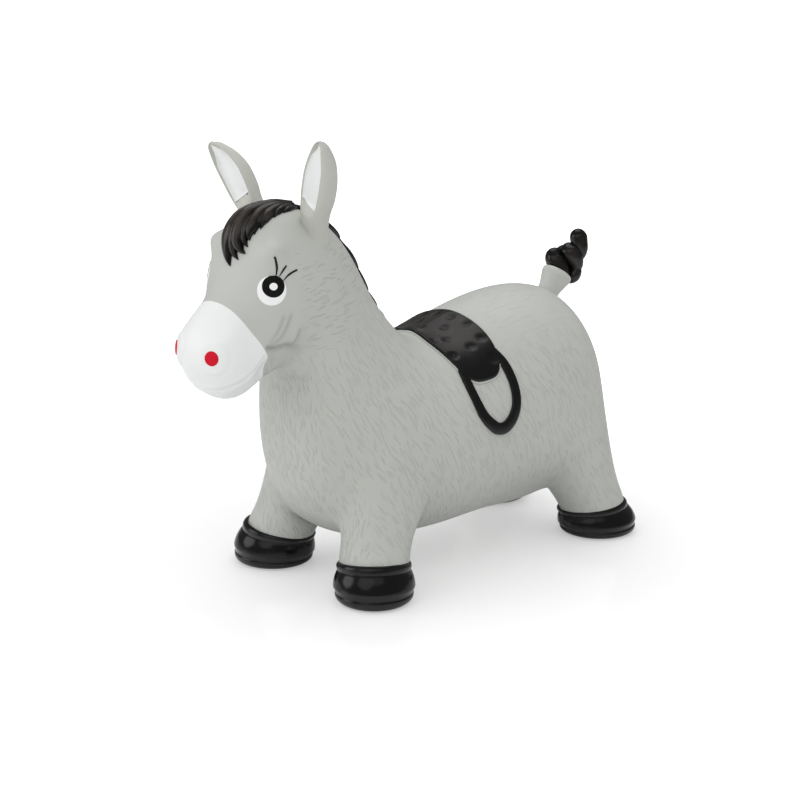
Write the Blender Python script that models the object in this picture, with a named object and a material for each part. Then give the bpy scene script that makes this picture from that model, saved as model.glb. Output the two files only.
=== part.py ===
"""A bouncy ride on donkey: a hollow, air filled hopper of soft plastic for a small child to sit on.

The animal faces +X, its left side is +Y and its soles rest on the floor at Z = 0. One smooth skin runs
from the rump along the back, up the neck and over the head, and its four legs grow out of its sides.
The skin is cut into the zones that flex against each other. Hooves, ears, hair, saddle and eyes are
the raised and painted zones that sit on it. Lengths are in metres.
"""
import math

import bmesh
import bpy
from mathutils import Matrix, Vector

for old in list(bpy.data.objects):
    bpy.data.objects.remove(old)

# general
MIDDLE_X = -0.05235       # moves the measured stations so that the origin is under the middle
FLOOR_Z = 0.013           # height of the floor among the measured places
GAP = 0.0003              # air between pieces that touch
WALL = 0.0024             # thickness of the moulded skin
REACH = 0.40              # size of the big blocks that cut the skin into zones
DEEP = 0.020              # how far a raised piece is drawn through the skin before it is trimmed
CAGE_SHARE = 1.047        # the smooth skin lies this much inside its cage
LEG_SHARE = 1.10          # the same for the slimmer legs
CAP_SHARE = 0.45          # size of the inner patch that closes the rump and the nose
RING_SHARES = (0, 0.089, 0.178, 0.269, 0.356, 0.428, 0.5, 0.572, 0.644, 0.731, 0.822, 0.911)
FULL_TURN = 2 * math.pi

# stations along the animal:
# back x, back z, belly x, belly z, half width, pinch of the back, fill of the belly
SECTIONS = (
    (-0.182, 0.224, -0.187, 0.128, 0.052, 0.000, 0.003),
    (-0.167, 0.264, -0.171, 0.091, 0.079, 0.000, 0.007),
    (-0.141, 0.282, -0.140, 0.067, 0.096, 0.000, 0.009),
    (-0.101, 0.286, -0.098, 0.058, 0.104, 0.000, 0.008),
    (-0.055, 0.279, -0.046, 0.056, 0.106, 0.000, 0.006),
    (-0.002, 0.265, 0.008, 0.052, 0.105, 0.000, 0.006),
    (0.040, 0.254, 0.060, 0.050, 0.103, 0.000, 0.007),
    (0.070, 0.261, 0.106, 0.053, 0.100, -0.004, 0.007),
    (0.087, 0.280, 0.152, 0.062, 0.097, -0.012, 0.006),
    (0.100, 0.299, 0.191, 0.086, 0.089, -0.017, 0.003),
    (0.113, 0.319, 0.210, 0.123, 0.081, -0.018, 0.000),
    (0.123, 0.341, 0.217, 0.165, 0.073, -0.018, 0.000),
    (0.139, 0.366, 0.217, 0.207, 0.065, -0.014, -0.001),
    (0.163, 0.391, 0.216, 0.241, 0.061, -0.008, -0.001),
    (0.199, 0.410, 0.229, 0.254, 0.059, 0.001, -0.001),
    (0.237, 0.414, 0.242, 0.249, 0.059, 0.001, -0.001),
    (0.266, 0.402, 0.259, 0.240, 0.055, 0.000, -0.002),
    (0.274, 0.372, 0.272, 0.232, 0.049, -0.002, -0.001),
    (0.280, 0.344, 0.288, 0.229, 0.046, -0.002, 0.000),
    (0.296, 0.325, 0.308, 0.238, 0.045, -0.001, 0.000),
    (0.315, 0.308, 0.320, 0.255, 0.034, 0.001, 0.000),
)
PINCH_SHARES = {0: (0, 0), 1: (0.7, 0), 2: (1, 0), 3: (0.35, 0.35), 4: (0, 1), 5: (0, 0.7), 6: (0, 0)}
RUMP_OUT = 0.008          # how far the last patch stands behind the rump station
NOSE_OUT = 0.010
FRONT_STATION, REAR_STATION = 7, 1

# legs: x, y, z, half length, half width and outward tip of each ring
FRONT_LEG = (
    (0.148, 0.067, 0.069, 0.036, 0.036, 0.006),
    (0.159, 0.0755, 0.053, 0.0365, 0.037, 0.007),
    (0.161, 0.078, 0.022, 0.0335, 0.0335, 0.0),
)
REAR_LEG = (
    (-0.146, 0.0735, 0.068, 0.038, 0.035, 0.006),
    (-0.158, 0.079, 0.047, 0.0365, 0.0365, 0.005),
    (-0.160, 0.0805, 0.022, 0.0335, 0.0335, 0.0),
)
LEG_POINT_DROP = 0.003
HIP_FRONT = (0.35, 0.42, -0.84)     # direction the leg leaves the body in
HIP_REAR = (-0.35, 0.42, -0.84)
FRONT_ANKLE = (0.160, 0.079, 0.044)
REAR_ANKLE = (-0.157, 0.078, 0.046)
FRONT_LENGTH = 0.044      # from the ankle up to the plane where the leg's own skin starts
REAR_LENGTH = 0.043
HIP_HALF = 0.057          # half size of the block that cuts a leg off
LEG_END_Z = 0.034         # the leg's skin stops here, inside the hoof

# hooves: height above the floor and radius, from the sole's bead up the wall to the rim's bead
HOOF_RINGS = (
    (0.0000, 0.0300), (0.0015, 0.0355), (0.0045, 0.0390), (0.0080, 0.0400), (0.0100, 0.0396),
    (0.0170, 0.0414), (0.0240, 0.0406), (0.0305, 0.0382), (0.0318, 0.0372), (0.0340, 0.0380),
    (0.0368, 0.0376), (0.0385, 0.0358),
)
HOOF_FRONT = (0.1615, 0.0785)
HOOF_REAR = (-0.1600, 0.0808)
HOOF_LEAN = 0.0083        # how far the rim stands inward of the sole, because the leg leans
HOOF_OUT = 0.0035         # how far the sole reaches out past the middle
HOOF_LONG_SHARE = 0.05    # how much longer the sole is in the direction that the leg leans in
REAR_HOOF_SHARE = 0.82    # height of a rear hoof against a front one
FRONT_TILT_SHARE = 0.19   # rise over run of the rim, which is tipped outward
REAR_TILT_SHARE = 0.145
HOOF_SIDES_COUNT = 28

# cuts across the neck and the muzzle, and the joint between them
NECK_LOW = (0.088, 0.280)
NECK_HIGH = (0.222, 0.248)
NECK_PIVOT = (0.163, 0.256)
MUZZLE_TOP = (0.294, 0.330)
MUZZLE_LOW = (0.266, 0.281)
MUZZLE_SHARE = 0.6        # the cutting block's middle, down the way between the two
MUZZLE_HALF = 0.075

# ears: centre x, y, z, half width, front depth, back depth; the tip closes on a point
EAR_ROOT = (
    (0.2000, 0.0270, 0.3700, 0.0150, 0.0110, 0.0120),
    (0.2055, 0.0365, 0.3940, 0.0150, 0.0105, 0.0128),
    (0.2095, 0.0420, 0.4060, 0.0150, 0.0105, 0.0134),
    (0.2115, 0.0462, 0.4155, 0.0157, 0.0105, 0.0141),
)
EAR_BLADE = (
    (0.2115, 0.0464, 0.4159, 0.0157, 0.0105, 0.0141),
    (0.2120, 0.0520, 0.4280, 0.0172, 0.0105, 0.0150),
    (0.2135, 0.0600, 0.4450, 0.0184, 0.0100, 0.0152),
    (0.2175, 0.0680, 0.4600, 0.0176, 0.0090, 0.0142),
    (0.2225, 0.0745, 0.4720, 0.0148, 0.0075, 0.0118),
    (0.2260, 0.0785, 0.4790, 0.0108, 0.0052, 0.0085),
    (0.2275, 0.0805, 0.4830, 0.0044, 0.0022, 0.0036),
)
EAR_FACING = (0.96, -0.10, 0.10)
EAR_FOOT_Z = 0.385
RIGHT_EAR_SHORT_SHARE = 0.19              # the right ear came out of the mould shorter than the left one
RIGHT_EAR_OUT_SHARE = 0.03                # and leans out more
EAR_CUP = 0.0052          # depth of the hollow in front
LINING_SKIP_COUNT = 1
LINING_SHARE = 0.74
LINING_UP = 0.0016
LINING_DOWN = 0.0030

# tail: x, z, radius
DOCK = (
    (-0.152, 0.254, 0.0120), (-0.160, 0.265, 0.0118), (-0.168, 0.275, 0.0130),
    (-0.1755, 0.2845, 0.0161), (-0.1785, 0.2884, 0.0166),
)
TUFT_START = 0.0150       # radius of the hair where it leaves the dock
TUFT = (
    (-0.1827, 0.29386, 0.0180), (-0.1890, 0.2998, 0.0196), (-0.1962, 0.3064, 0.0182),
    (-0.2028, 0.3125, 0.0134), (-0.2064, 0.3166, 0.0112), (-0.2094, 0.3212, 0.0110),
    (-0.2110, 0.3258, 0.0090), (-0.2117, 0.3290, 0.0042),
)
TUFT_SIDES_COUNT = 18
TUFT_LOBES_SHARE = 0.13   # depth of the twist in the hair
TUFT_TURN_SHARE = 0.09    # turn of the hair per ring

# saddle, drawn from the side: x, z
SADDLE_EDGE = (
    (0.042, 0.300), (0.044, 0.262), (0.0455, 0.248), (0.044, 0.240), (0.0415, 0.232), (0.037, 0.225),
    (0.031, 0.219), (0.023, 0.2155), (0.014, 0.2145), (0.006, 0.216), (0.000, 0.220), (-0.006, 0.226),
    (-0.012, 0.234), (-0.016, 0.243), (-0.019, 0.255), (-0.0195, 0.300),
)
SADDLE_RISE = 0.0045
# middle line of a stirrup loop, drawn from the side: x, z, half width of the strap
LOOP_LINE = (
    (0.0392, 0.2330, 0.0048), (0.0396, 0.2230, 0.0048), (0.0394, 0.2150, 0.0048), (0.0386, 0.2070, 0.0048),
    (0.0372, 0.1990, 0.0049), (0.0350, 0.1905, 0.0051), (0.0315, 0.1830, 0.0055), (0.0262, 0.1762, 0.0059),
    (0.0195, 0.1708, 0.0062), (0.0115, 0.1678, 0.0063), (0.0030, 0.1690, 0.0062), (-0.0055, 0.1752, 0.0059),
    (-0.0122, 0.1845, 0.0055), (-0.0156, 0.1950, 0.0053), (-0.0168, 0.2065, 0.0052),
    (-0.0162, 0.2185, 0.0052), (-0.0156, 0.2295, 0.0052), (-0.0156, 0.2420, 0.0052),
)
LOOP_RISE = 0.0036

# hair: the forelock seen from the front and above, the mane seen from the side
FORELOCK = (
    (0.2060, -0.012, 0.410), (0.2060, 0.012, 0.410), (0.2200, 0.015, 0.409), (0.2350, 0.020, 0.406),
    (0.2530, 0.025, 0.396), (0.2640, 0.022, 0.387), (0.2700, 0.019, 0.376), (0.2730, 0.012, 0.372),
    (0.2760, 0.003, 0.363), (0.2730, -0.008, 0.374), (0.2670, -0.017, 0.383), (0.2600, -0.019, 0.392),
    (0.2450, -0.018, 0.402), (0.2250, -0.014, 0.409),
)
FORELOCK_FACING = (0.62, 0.0, 0.78)
HAIR_RISE = 0.0075
MANE_OUTER = (
    (0.0740, 0.2755), (0.0830, 0.2850), (0.0920, 0.2970), (0.1010, 0.3125), (0.1120, 0.3350),
    (0.1225, 0.3540), (0.1350, 0.3700), (0.1520, 0.3895), (0.1720, 0.4035), (0.1920, 0.4115),
)
MANE_INNER = (
    (0.1940, 0.3960), (0.1780, 0.3880), (0.1560, 0.3720), (0.1400, 0.3520),
    (0.1280, 0.3300), (0.1140, 0.3040), (0.1000, 0.2800), (0.0900, 0.2680),
)
MANE_HALF = 0.0065

# face
EYE = (0.2640, 0.0480, 0.3430)
EYE_FACING = (0.56, 0.80, 0.20)
EYE_RADIUS = 0.0138
IRIS_SHIFT = (-0.0012, 0.0006, 0.0030)
IRIS_RADIUS = 0.0104
SPARK_RADIUS = 0.0038
PAINT_RISE = 0.0010       # each painted layer stands this far above the last
LASHES = (
    ((0.2600, 0.0480, 0.3585), (0.2565, 0.0470, 0.3655), (0.2550, 0.0430, 0.3745)),
    ((0.2560, 0.0510, 0.3570), (0.2515, 0.0510, 0.3600), (0.2470, 0.0510, 0.3645)),
    ((0.2530, 0.0530, 0.3540), (0.2460, 0.0530, 0.3570), (0.2385, 0.0540, 0.3595)),
)
LASH_HALF = 0.0007
LASH_ARC_IN = 0.0144
LASH_ARC_OUT = 0.0156
LASH_ARC_SHARES = (0.215, 0.315)
LASH_ARC_COUNT = 14
LASH_ROOT_SHARE = 1.6     # a lash's root, against its own width
NOSTRIL = (0.3200, 0.0265, 0.2820)
NOSTRIL_FACING = (0.87, 0.48, 0.11)
NOSTRIL_RADIUS = 0.0068
DISC_SIDES_COUNT = 24

# air valve under the belly: a flanged seat moulded into the skin and a plug that pulls out
VALVE_X = 0.010
VALVE_Z = 0.0515
SEAT_PROFILE = (
    (0.0048, -0.0100), (0.0090, -0.0100), (0.0090, -0.0060), (0.0072, -0.0060),
    (0.0072, 0.0022), (0.0100, 0.0022), (0.0100, 0.0040), (0.0048, 0.0040),
)
PLUG_PROFILE = (
    (0.0000, -0.0110), (0.0040, -0.0110), (0.0044, -0.0095), (0.0044, 0.0043),
    (0.0082, 0.0043), (0.0082, 0.0056), (0.0060, 0.0064), (0.0000, 0.0064),
)
SEAT_HOLE = 0.0078

# where each moving piece turns or slides: x, y, z on the joint's axis
EAR_PIVOT = (0.2075, 0.0400, 0.4020)
TAIL_PIVOT = (-0.1680, 0.0, 0.2750)


def material(name, colour, roughness, metallic=0.0):
    made = bpy.data.materials.new(name)
    made.use_nodes = True
    shader = made.node_tree.nodes["Principled BSDF"]
    shader.inputs["Base Color"].default_value = (*colour, 1.0)
    shader.inputs["Roughness"].default_value = roughness
    shader.inputs["Metallic"].default_value = metallic
    return made


GREY = (0.429, 0.445, 0.413)
BLACK = (0.010, 0.010, 0.010)
WHITE = (0.753, 0.776, 0.768)
IRIS_BLACK = (0.028, 0.028, 0.030)
RED = (0.591, 0.009, 0.031)


def at(x, y, z):
    """A measured place on the animal, in the frame of the finished part."""
    return Vector((x + MIDDLE_X, y, z - FLOOR_Z))


def body_object(name, mesh, colour, roughness):
    thing = bpy.data.objects.new(name, mesh)
    bpy.context.scene.collection.objects.link(thing)
    thing.data.materials.append(material(name, colour, roughness))
    return thing


def guide(thing):
    """Marks an object that only cuts others."""
    thing.hide_render = True
    thing.display_type = "WIRE"
    return thing


def mesh_of(name, points, faces):
    mesh = bpy.data.meshes.new(name)
    shape = bmesh.new()
    made = [shape.verts.new(point) for point in points]
    for face in faces:
        shape.faces.new([made[index] for index in face])
    bmesh.ops.recalc_face_normals(shape, faces=shape.faces)
    shape.to_mesh(mesh)
    shape.free()
    return mesh


def carve(thing, operation, other):
    cut = thing.modifiers.new(other.name, "BOOLEAN")
    cut.operation = operation
    cut.solver = "EXACT"
    cut.object = other
    return thing


# The cage of the whole skin

def leg_rings(points, faces, hole, table, side):
    """Grows one leg out of the hole between three stations, ring by ring, and closes its end."""
    last = hole
    for x, y, z, half_length, half_width, tip in table:
        ring = []
        for step in range(8):
            turn = FULL_TURN * step / 8
            points.append(at(
                x + LEG_SHARE * half_length * math.cos(turn),
                side * (y + LEG_SHARE * half_width * math.sin(turn)),
                z + tip * math.sin(turn),
            ))
            ring.append(len(points) - 1)
        faces += [(last[i], ring[i], ring[(i + 1) % 8], last[(i + 1) % 8]) for i in range(8)]
        last = ring
    x, y, z = table[-1][:3]
    points.append(at(x, side * y, z - LEG_POINT_DROP))
    faces += [(last[i - 1], last[i], last[(i + 1) % 8], len(points) - 1) for i in (0, 2, 4, 6)]


def skin_cage():
    """Points and faces of the coarse cage: twelve sided stations, two closed ends and four legs."""
    points, faces = [], []
    for back_x, back_z, belly_x, belly_z, half_width, pinch, fill in SECTIONS:
        middle = (at(back_x, 0, back_z) + at(belly_x, 0, belly_z)) / 2
        rise = (at(back_x, 0, back_z) - at(belly_x, 0, belly_z)) / 2
        for step, share in enumerate(RING_SHARES):
            turn = FULL_TURN * share
            side = 1 if step < 6 else -1
            top_share, low_share = PINCH_SHARES[step if step <= 6 else 12 - step]
            width = half_width * math.sin(turn) + side * (pinch * top_share + fill * low_share)
            points.append(middle + CAGE_SHARE * (rise * math.cos(turn) + Vector((0, width, 0))))

    def index(station, step):
        return station * 12 + step % 12

    holes = [
        (station + i, step)
        for station in (FRONT_STATION, REAR_STATION) for i in (0, 1) for step in (3, 4, 7, 8)
    ]
    for station in range(len(SECTIONS) - 1):
        for step in range(12):
            if (station, step) not in holes:
                faces.append((
                    index(station, step), index(station + 1, step),
                    index(station + 1, step + 1), index(station, step + 1),
                ))

    for station, out in ((0, -RUMP_OUT), (len(SECTIONS) - 1, NOSE_OUT)):
        middle = sum((points[index(station, step)] for step in range(12)), Vector()) / 12
        inner = []
        for step in (0, 3, 6, 9):
            points.append(middle.lerp(points[index(station, step)], CAP_SHARE) + Vector((out, 0, 0)))
            inner.append(len(points) - 1)
        ring = [index(station, step) for step in range(12)]
        grid = [[ring[0], ring[11], ring[10], ring[9]], [ring[1], inner[0], inner[3], ring[8]],
                [ring[2], inner[1], inner[2], ring[7]], [ring[3], ring[4], ring[5], ring[6]]]
        faces += [
            (grid[i][j], grid[i + 1][j], grid[i + 1][j + 1], grid[i][j + 1])
            for i in range(3) for j in range(3)
        ]

    for station, table in ((FRONT_STATION, FRONT_LEG), (REAR_STATION, REAR_LEG)):
        for side, (high, middle, low) in ((1, (3, 4, 5)), (-1, (9, 8, 7))):
            hole = [
                index(station + 2, middle), index(station + 2, high), index(station + 1, high),
                index(station, high), index(station, middle), index(station, low),
                index(station + 1, low), index(station + 2, low),
            ]
            leg_rings(points, faces, hole, table, side)
    return points, faces


CAGE_POINTS, CAGE_FACES = skin_cage()


def smooth_skin(name, colour=GREY, roughness=0.5):
    thing = body_object(name, mesh_of(name, CAGE_POINTS, CAGE_FACES), colour, roughness)
    smooth = thing.modifiers.new("smooth", "SUBSURF")
    smooth.levels = smooth.render_levels = 1
    flat = thing.modifiers.new("flat", "TRIANGULATE")
    flat.quad_method = "FIXED"
    return thing


def grown_skin(name, rise):
    """The skin's outside moved out by rise: raised pieces stop at it or are trimmed by it."""
    thing = guide(smooth_skin(name))
    grow = thing.modifiers.new("grow", "DISPLACE")
    grow.strength = rise
    grow.mid_level = 0.0
    return thing


def skin_wall(name, colour=GREY, roughness=0.5):
    thing = smooth_skin(name, colour, roughness)
    wall = thing.modifiers.new("wall", "SOLIDIFY")
    wall.thickness = WALL
    wall.offset = -1.0
    return thing


def block(name, face_middle, direction, half, depth):
    """A cutting block whose one face is centred on face_middle and which runs along direction."""
    direction = Vector(direction).normalized()
    side = direction.cross(Vector((0, 1, 0)) if abs(direction.y) < 0.5 else Vector((1, 0, 0))).normalized()
    other = direction.cross(side)
    signs = ((-1, -1), (1, -1), (1, 1), (-1, 1))
    corners = [face_middle + side * half * a + other * half * b for a, b in signs]
    points = corners + [corner + direction * depth for corner in corners]
    faces = [(0, 1, 2, 3), (7, 6, 5, 4)] + [(i, (i + 1) % 4, (i + 1) % 4 + 4, i + 4) for i in range(4)]
    return guide(body_object(name, mesh_of(name, points, faces), GREY, 0.5))


def prism(name, outline, back, front, colour, roughness):
    """A closed prism through outline, from back to front, which are moves away from it."""
    count = len(outline)
    points = [point + back for point in outline] + [point + front for point in outline]
    faces = [tuple(range(count)), tuple(range(count, 2 * count))]
    faces += [(i, (i + 1) % count, (i + 1) % count + count, i + count) for i in range(count)]
    return body_object(name, mesh_of(name, points, faces), colour, roughness)


def loft(name, rings, colour, roughness):
    """A closed body through rings of points, each with as many points as the last."""
    count = len(rings[0])
    points = [point for ring in rings for point in ring]
    faces = [tuple(range(count)), tuple(range(len(points) - count, len(points)))]
    for row in range(len(rings) - 1):
        base = row * count
        faces += [
            (base + i, base + (i + 1) % count, base + count + (i + 1) % count, base + count + i)
            for i in range(count)
        ]
    return body_object(name, mesh_of(name, points, faces), colour, roughness)


def disc(middle, facing, radius):
    """Points of a circle round middle, square to facing."""
    facing = Vector(facing).normalized()
    across = facing.cross(Vector((0, 0, 1))).normalized()
    up = across.cross(facing)
    turns = [FULL_TURN * i / DISC_SIDES_COUNT for i in range(DISC_SIDES_COUNT)]
    return [middle + (across * math.cos(turn) + up * math.sin(turn)) * radius for turn in turns]


SKIN_CLEAR = grown_skin("skin_clear", GAP)
SKIN_SADDLE = grown_skin("skin_saddle", SADDLE_RISE)
SKIN_LOOP = grown_skin("skin_loop", LOOP_RISE)
SKIN_HAIR = grown_skin("skin_hair", HAIR_RISE)
SKIN_PAINT = [grown_skin(f"skin_paint_{i}", (GAP + PAINT_RISE) * (i + 1)) for i in range(3)]
SKIN_PAINT_CLEAR = [grown_skin(f"skin_paint_clear_{i}", (GAP + PAINT_RISE) * i + GAP) for i in range(3)]


# The skin, cut into torso, neck, head, muzzle and legs

NECK_WAY = Vector((1, 0, 1)).normalized()
low = at(NECK_LOW[0], 0, NECK_LOW[1])
high = at(NECK_HIGH[0], 0, NECK_HIGH[1])
neck_middle = at(NECK_PIVOT[0], 0, NECK_PIVOT[1])
low_face = neck_middle - NECK_WAY * (neck_middle - low).dot(NECK_WAY)
high_face = neck_middle + NECK_WAY * (high - neck_middle).dot(NECK_WAY)
above_torso = block("above_torso", low_face, NECK_WAY, REACH, 2 * REACH)
neck_length = (high_face - low_face).length
neck_slab = block("neck_slab", low_face + NECK_WAY * GAP, NECK_WAY, REACH, neck_length - 2 * GAP)
below_head = block("below_head", high_face, -NECK_WAY, 2 * REACH, 2 * REACH)

top, bottom = at(MUZZLE_TOP[0], 0, MUZZLE_TOP[1]), at(MUZZLE_LOW[0], 0, MUZZLE_LOW[1])
muzzle_way = (top - bottom).normalized().cross(Vector((0, -1, 0)))
muzzle_middle = top.lerp(bottom, MUZZLE_SHARE)
head_front = block("head_front", muzzle_middle - muzzle_way * GAP, muzzle_way, MUZZLE_HALF, REACH)
muzzle_block = block("muzzle_block", muzzle_middle, muzzle_way, MUZZLE_HALF, REACH)

torso = carve(skin_wall("torso_skin"), "DIFFERENCE", above_torso)
neck = carve(skin_wall("neck_skin"), "INTERSECT", neck_slab)
head = carve(carve(skin_wall("head_skin"), "DIFFERENCE", below_head), "DIFFERENCE", head_front)
muzzle = carve(skin_wall("muzzle", WHITE, 0.45), "INTERSECT", muzzle_block)

floor_block = block("under_legs", at(0, 0, LEG_END_Z), (0, 0, -1), 2 * REACH, REACH)
for end, ankle, way, length, hoof, hoof_share, tilt_share in (
    ("front", FRONT_ANKLE, HIP_FRONT, FRONT_LENGTH, HOOF_FRONT, 1.0, FRONT_TILT_SHARE),
    ("rear", REAR_ANKLE, HIP_REAR, REAR_LENGTH, HOOF_REAR, REAR_HOOF_SHARE, REAR_TILT_SHARE),
):
    for side_name, side in (("left", 1), ("right", -1)):
        name = f"{end}_{side_name}"
        direction = Vector((way[0], side * way[1], way[2])).normalized()
        hip = at(ankle[0], side * ankle[1], ankle[2]) - direction * length
        carve(torso, "DIFFERENCE", block(f"{name}_hip", hip, direction, HIP_HALF, REACH))
        thigh = block(f"{name}_thigh", hip + direction * GAP, direction, HIP_HALF - GAP, REACH)
        leg = carve(skin_wall(f"{name}_leg_skin"), "INTERSECT", thigh)
        carve(leg, "DIFFERENCE", floor_block)

        # the hoof is a cup: its rings tip up on the outer side of the leg as they rise
        outward = Vector((way[0], side * way[1], 0)).normalized()
        rings = []
        for height, radius in HOOF_RINGS:
            share = height / HOOF_RINGS[-1][0]
            shift = outward * (HOOF_OUT - HOOF_LEAN * share ** 2)
            ring = []
            for step in range(HOOF_SIDES_COUNT):
                turn = FULL_TURN * step / HOOF_SIDES_COUNT
                spot = Vector((math.cos(turn), math.sin(turn), 0)) * radius
                out = spot.dot(outward)
                spot += outward * out * HOOF_LONG_SHARE * (1 - share)
                rise = Vector((0, 0, hoof_share * height + tilt_share * share * out))
                ring.append(at(hoof[0], side * hoof[1], FLOOR_Z) + shift + spot + rise)
            rings.append(ring)
        carve(loft(f"{name}_hoof", rings, BLACK, 0.2), "DIFFERENCE", SKIN_CLEAR)


# Saddle and stirrup loops

def side_points(outline, y=0.0):
    return [at(x, y, z) for x, z in outline]


def strap_outline(line):
    """The outline of a flat strap round its middle line, drawn from the side."""
    outer, inner = [], []
    for row, (x, z, half) in enumerate(line):
        before, after = line[max(row - 1, 0)], line[min(row + 1, len(line) - 1)]
        along = Vector((after[0] - before[0], 0, after[1] - before[1])).normalized()
        across = along.cross(Vector((0, 1, 0)))
        outer.append(at(x, 0, z) + across * half)
        inner.append(at(x, 0, z) - across * half)
    return outer + inner[::-1]


RIGHTWARD, LEFTWARD = Vector((0, -REACH, 0)), Vector((0, REACH, 0))
saddle = prism("saddle", side_points(SADDLE_EDGE), RIGHTWARD, LEFTWARD, BLACK, 0.25)
carve(carve(saddle, "INTERSECT", SKIN_SADDLE), "DIFFERENCE", SKIN_CLEAR)
saddle_room = guide(prism("saddle_room", side_points(SADDLE_EDGE), RIGHTWARD, LEFTWARD, BLACK, 0.25))
room = saddle_room.modifiers.new("grow", "DISPLACE")
room.strength = 2 * GAP
room.mid_level = 0.0
for side_name, side in (("left", 1), ("right", -1)):
    near, far = Vector((0, side * DEEP, 0)), Vector((0, side * REACH, 0))
    loop = prism(f"{side_name}_stirrup_loop", strap_outline(LOOP_LINE), near, far, BLACK, 0.3)
    carve(carve(loop, "INTERSECT", SKIN_LOOP), "DIFFERENCE", SKIN_CLEAR)
    carve(loop, "DIFFERENCE", saddle_room)


# Face: eyes in three painted layers, lashes and nostrils

def painted(name, outline, facing, layer, colour, roughness):
    """A flat layer of paint or print on the skin, inside outline, on the given layer."""
    facing = Vector(facing).normalized()
    piece = prism(name, outline, facing * -DEEP, facing * DEEP, colour, roughness)
    carve(piece, "INTERSECT", SKIN_PAINT[layer])
    return carve(piece, "DIFFERENCE", SKIN_PAINT_CLEAR[layer])


def mirrored(values, side):
    return (values[0], side * values[1], values[2])


def lash_outline(side):
    """One outline for the lid line over the eye and the three lashes that rise from it."""
    middle = at(*mirrored(EYE, side))
    facing = Vector(mirrored(EYE_FACING, side)).normalized()
    across = facing.cross(Vector((0, 0, 1))).normalized()
    up = across.cross(facing)

    def flat(point):
        away = point - middle
        return away.dot(across), away.dot(up)

    def lifted(pair):
        return middle + across * pair[0] + up * pair[1]

    start, stop = LASH_ARC_SHARES
    if side < 0:
        start, stop = 0.5 - stop, 0.5 - start
    roots = []
    for lash in LASHES:
        path = [flat(at(*mirrored(point, side))) for point in lash]
        roots.append((math.atan2(path[0][1], path[0][0]), path))
    roots.sort()
    outline = []
    turns = [FULL_TURN * (start + (stop - start) * i / LASH_ARC_COUNT) for i in range(LASH_ARC_COUNT + 1)]
    for turn in turns:
        outline.append((math.cos(turn) * LASH_ARC_IN, math.sin(turn) * LASH_ARC_IN))
    outer = []
    for turn in turns:
        outer.append((turn, [(math.cos(turn) * LASH_ARC_OUT, math.sin(turn) * LASH_ARC_OUT)]))
    half_turn = LASH_HALF / LASH_ARC_OUT
    for angle, path in roots:
        outer = [item for item in outer if abs(item[0] - angle) > 2 * half_turn]
        first, second, third = path
        along = Vector((third[0] - second[0], third[1] - second[1])).normalized()
        early = Vector((third[0] - first[0], third[1] - first[1])).normalized()
        square = Vector((-along.y, along.x)) * LASH_HALF
        square_early = Vector((-early.y, early.x)) * LASH_HALF
        reach = LASH_ROOT_SHARE * half_turn
        root = [
            (math.cos(angle + d) * LASH_ARC_OUT, math.sin(angle + d) * LASH_ARC_OUT) for d in (-reach, reach)
        ]
        hair = [root[0], (second[0] - square_early.x, second[1] - square_early.y), third,
                (second[0] + square_early.x, second[1] + square_early.y), root[1]]
        outer.append((angle, hair))
    outer.sort(key=lambda item: item[0])
    for _, chain in reversed(outer):
        outline += list(reversed(chain))
    return [lifted(pair) for pair in outline]


for side_name, side in (("left", 1), ("right", -1)):
    eye, eye_way = at(*mirrored(EYE, side)), mirrored(EYE_FACING, side)
    iris = eye + Vector(mirrored(IRIS_SHIFT, side))
    painted(f"{side_name}_eye_white", disc(eye, eye_way, EYE_RADIUS), eye_way, 0, WHITE, 0.3)
    painted(f"{side_name}_iris", disc(iris, eye_way, IRIS_RADIUS), eye_way, 1, IRIS_BLACK, 0.25)
    painted(f"{side_name}_eye_spark", disc(iris, eye_way, SPARK_RADIUS), eye_way, 2, WHITE, 0.3)
    painted(f"{side_name}_lashes", lash_outline(side), eye_way, 0, BLACK, 0.4)
    nose = at(*mirrored(NOSTRIL, side))
    nose_way = mirrored(NOSTRIL_FACING, side)
    painted(f"{side_name}_nostril", disc(nose, nose_way, NOSTRIL_RADIUS), nose_way, 0, RED, 0.4)


# Hair: forelock over the brow, mane along the nape

forelock_way = Vector(FORELOCK_FACING).normalized()
outline = [at(*point) for point in FORELOCK]
forelock = prism("forelock", outline, forelock_way * -DEEP, forelock_way * 2 * DEEP, BLACK, 0.25)
carve(carve(forelock, "INTERSECT", SKIN_HAIR), "DIFFERENCE", SKIN_CLEAR)
for name, keep in (("poll_mane", "DIFFERENCE"), ("neck_mane", "INTERSECT")):
    outline = side_points(MANE_OUTER + MANE_INNER)
    mane = prism(name, outline, Vector((0, -MANE_HALF, 0)), Vector((0, MANE_HALF, 0)), BLACK, 0.25)
    carve(mane, keep, below_head if name == "poll_mane" else neck_slab)
    carve(mane, "DIFFERENCE", SKIN_CLEAR)


# Ears: a root that bends, a blade to hold and a pale lining in its hollow

def ear_place(x, y, z, side):
    """A place of the left ear, or the same place of the right ear, which is shorter and leans out more."""
    above = z - EAR_FOOT_Z if side < 0 else 0.0
    return at(x, side * (y + RIGHT_EAR_OUT_SHARE * above), z - RIGHT_EAR_SHORT_SHARE * above)


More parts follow.
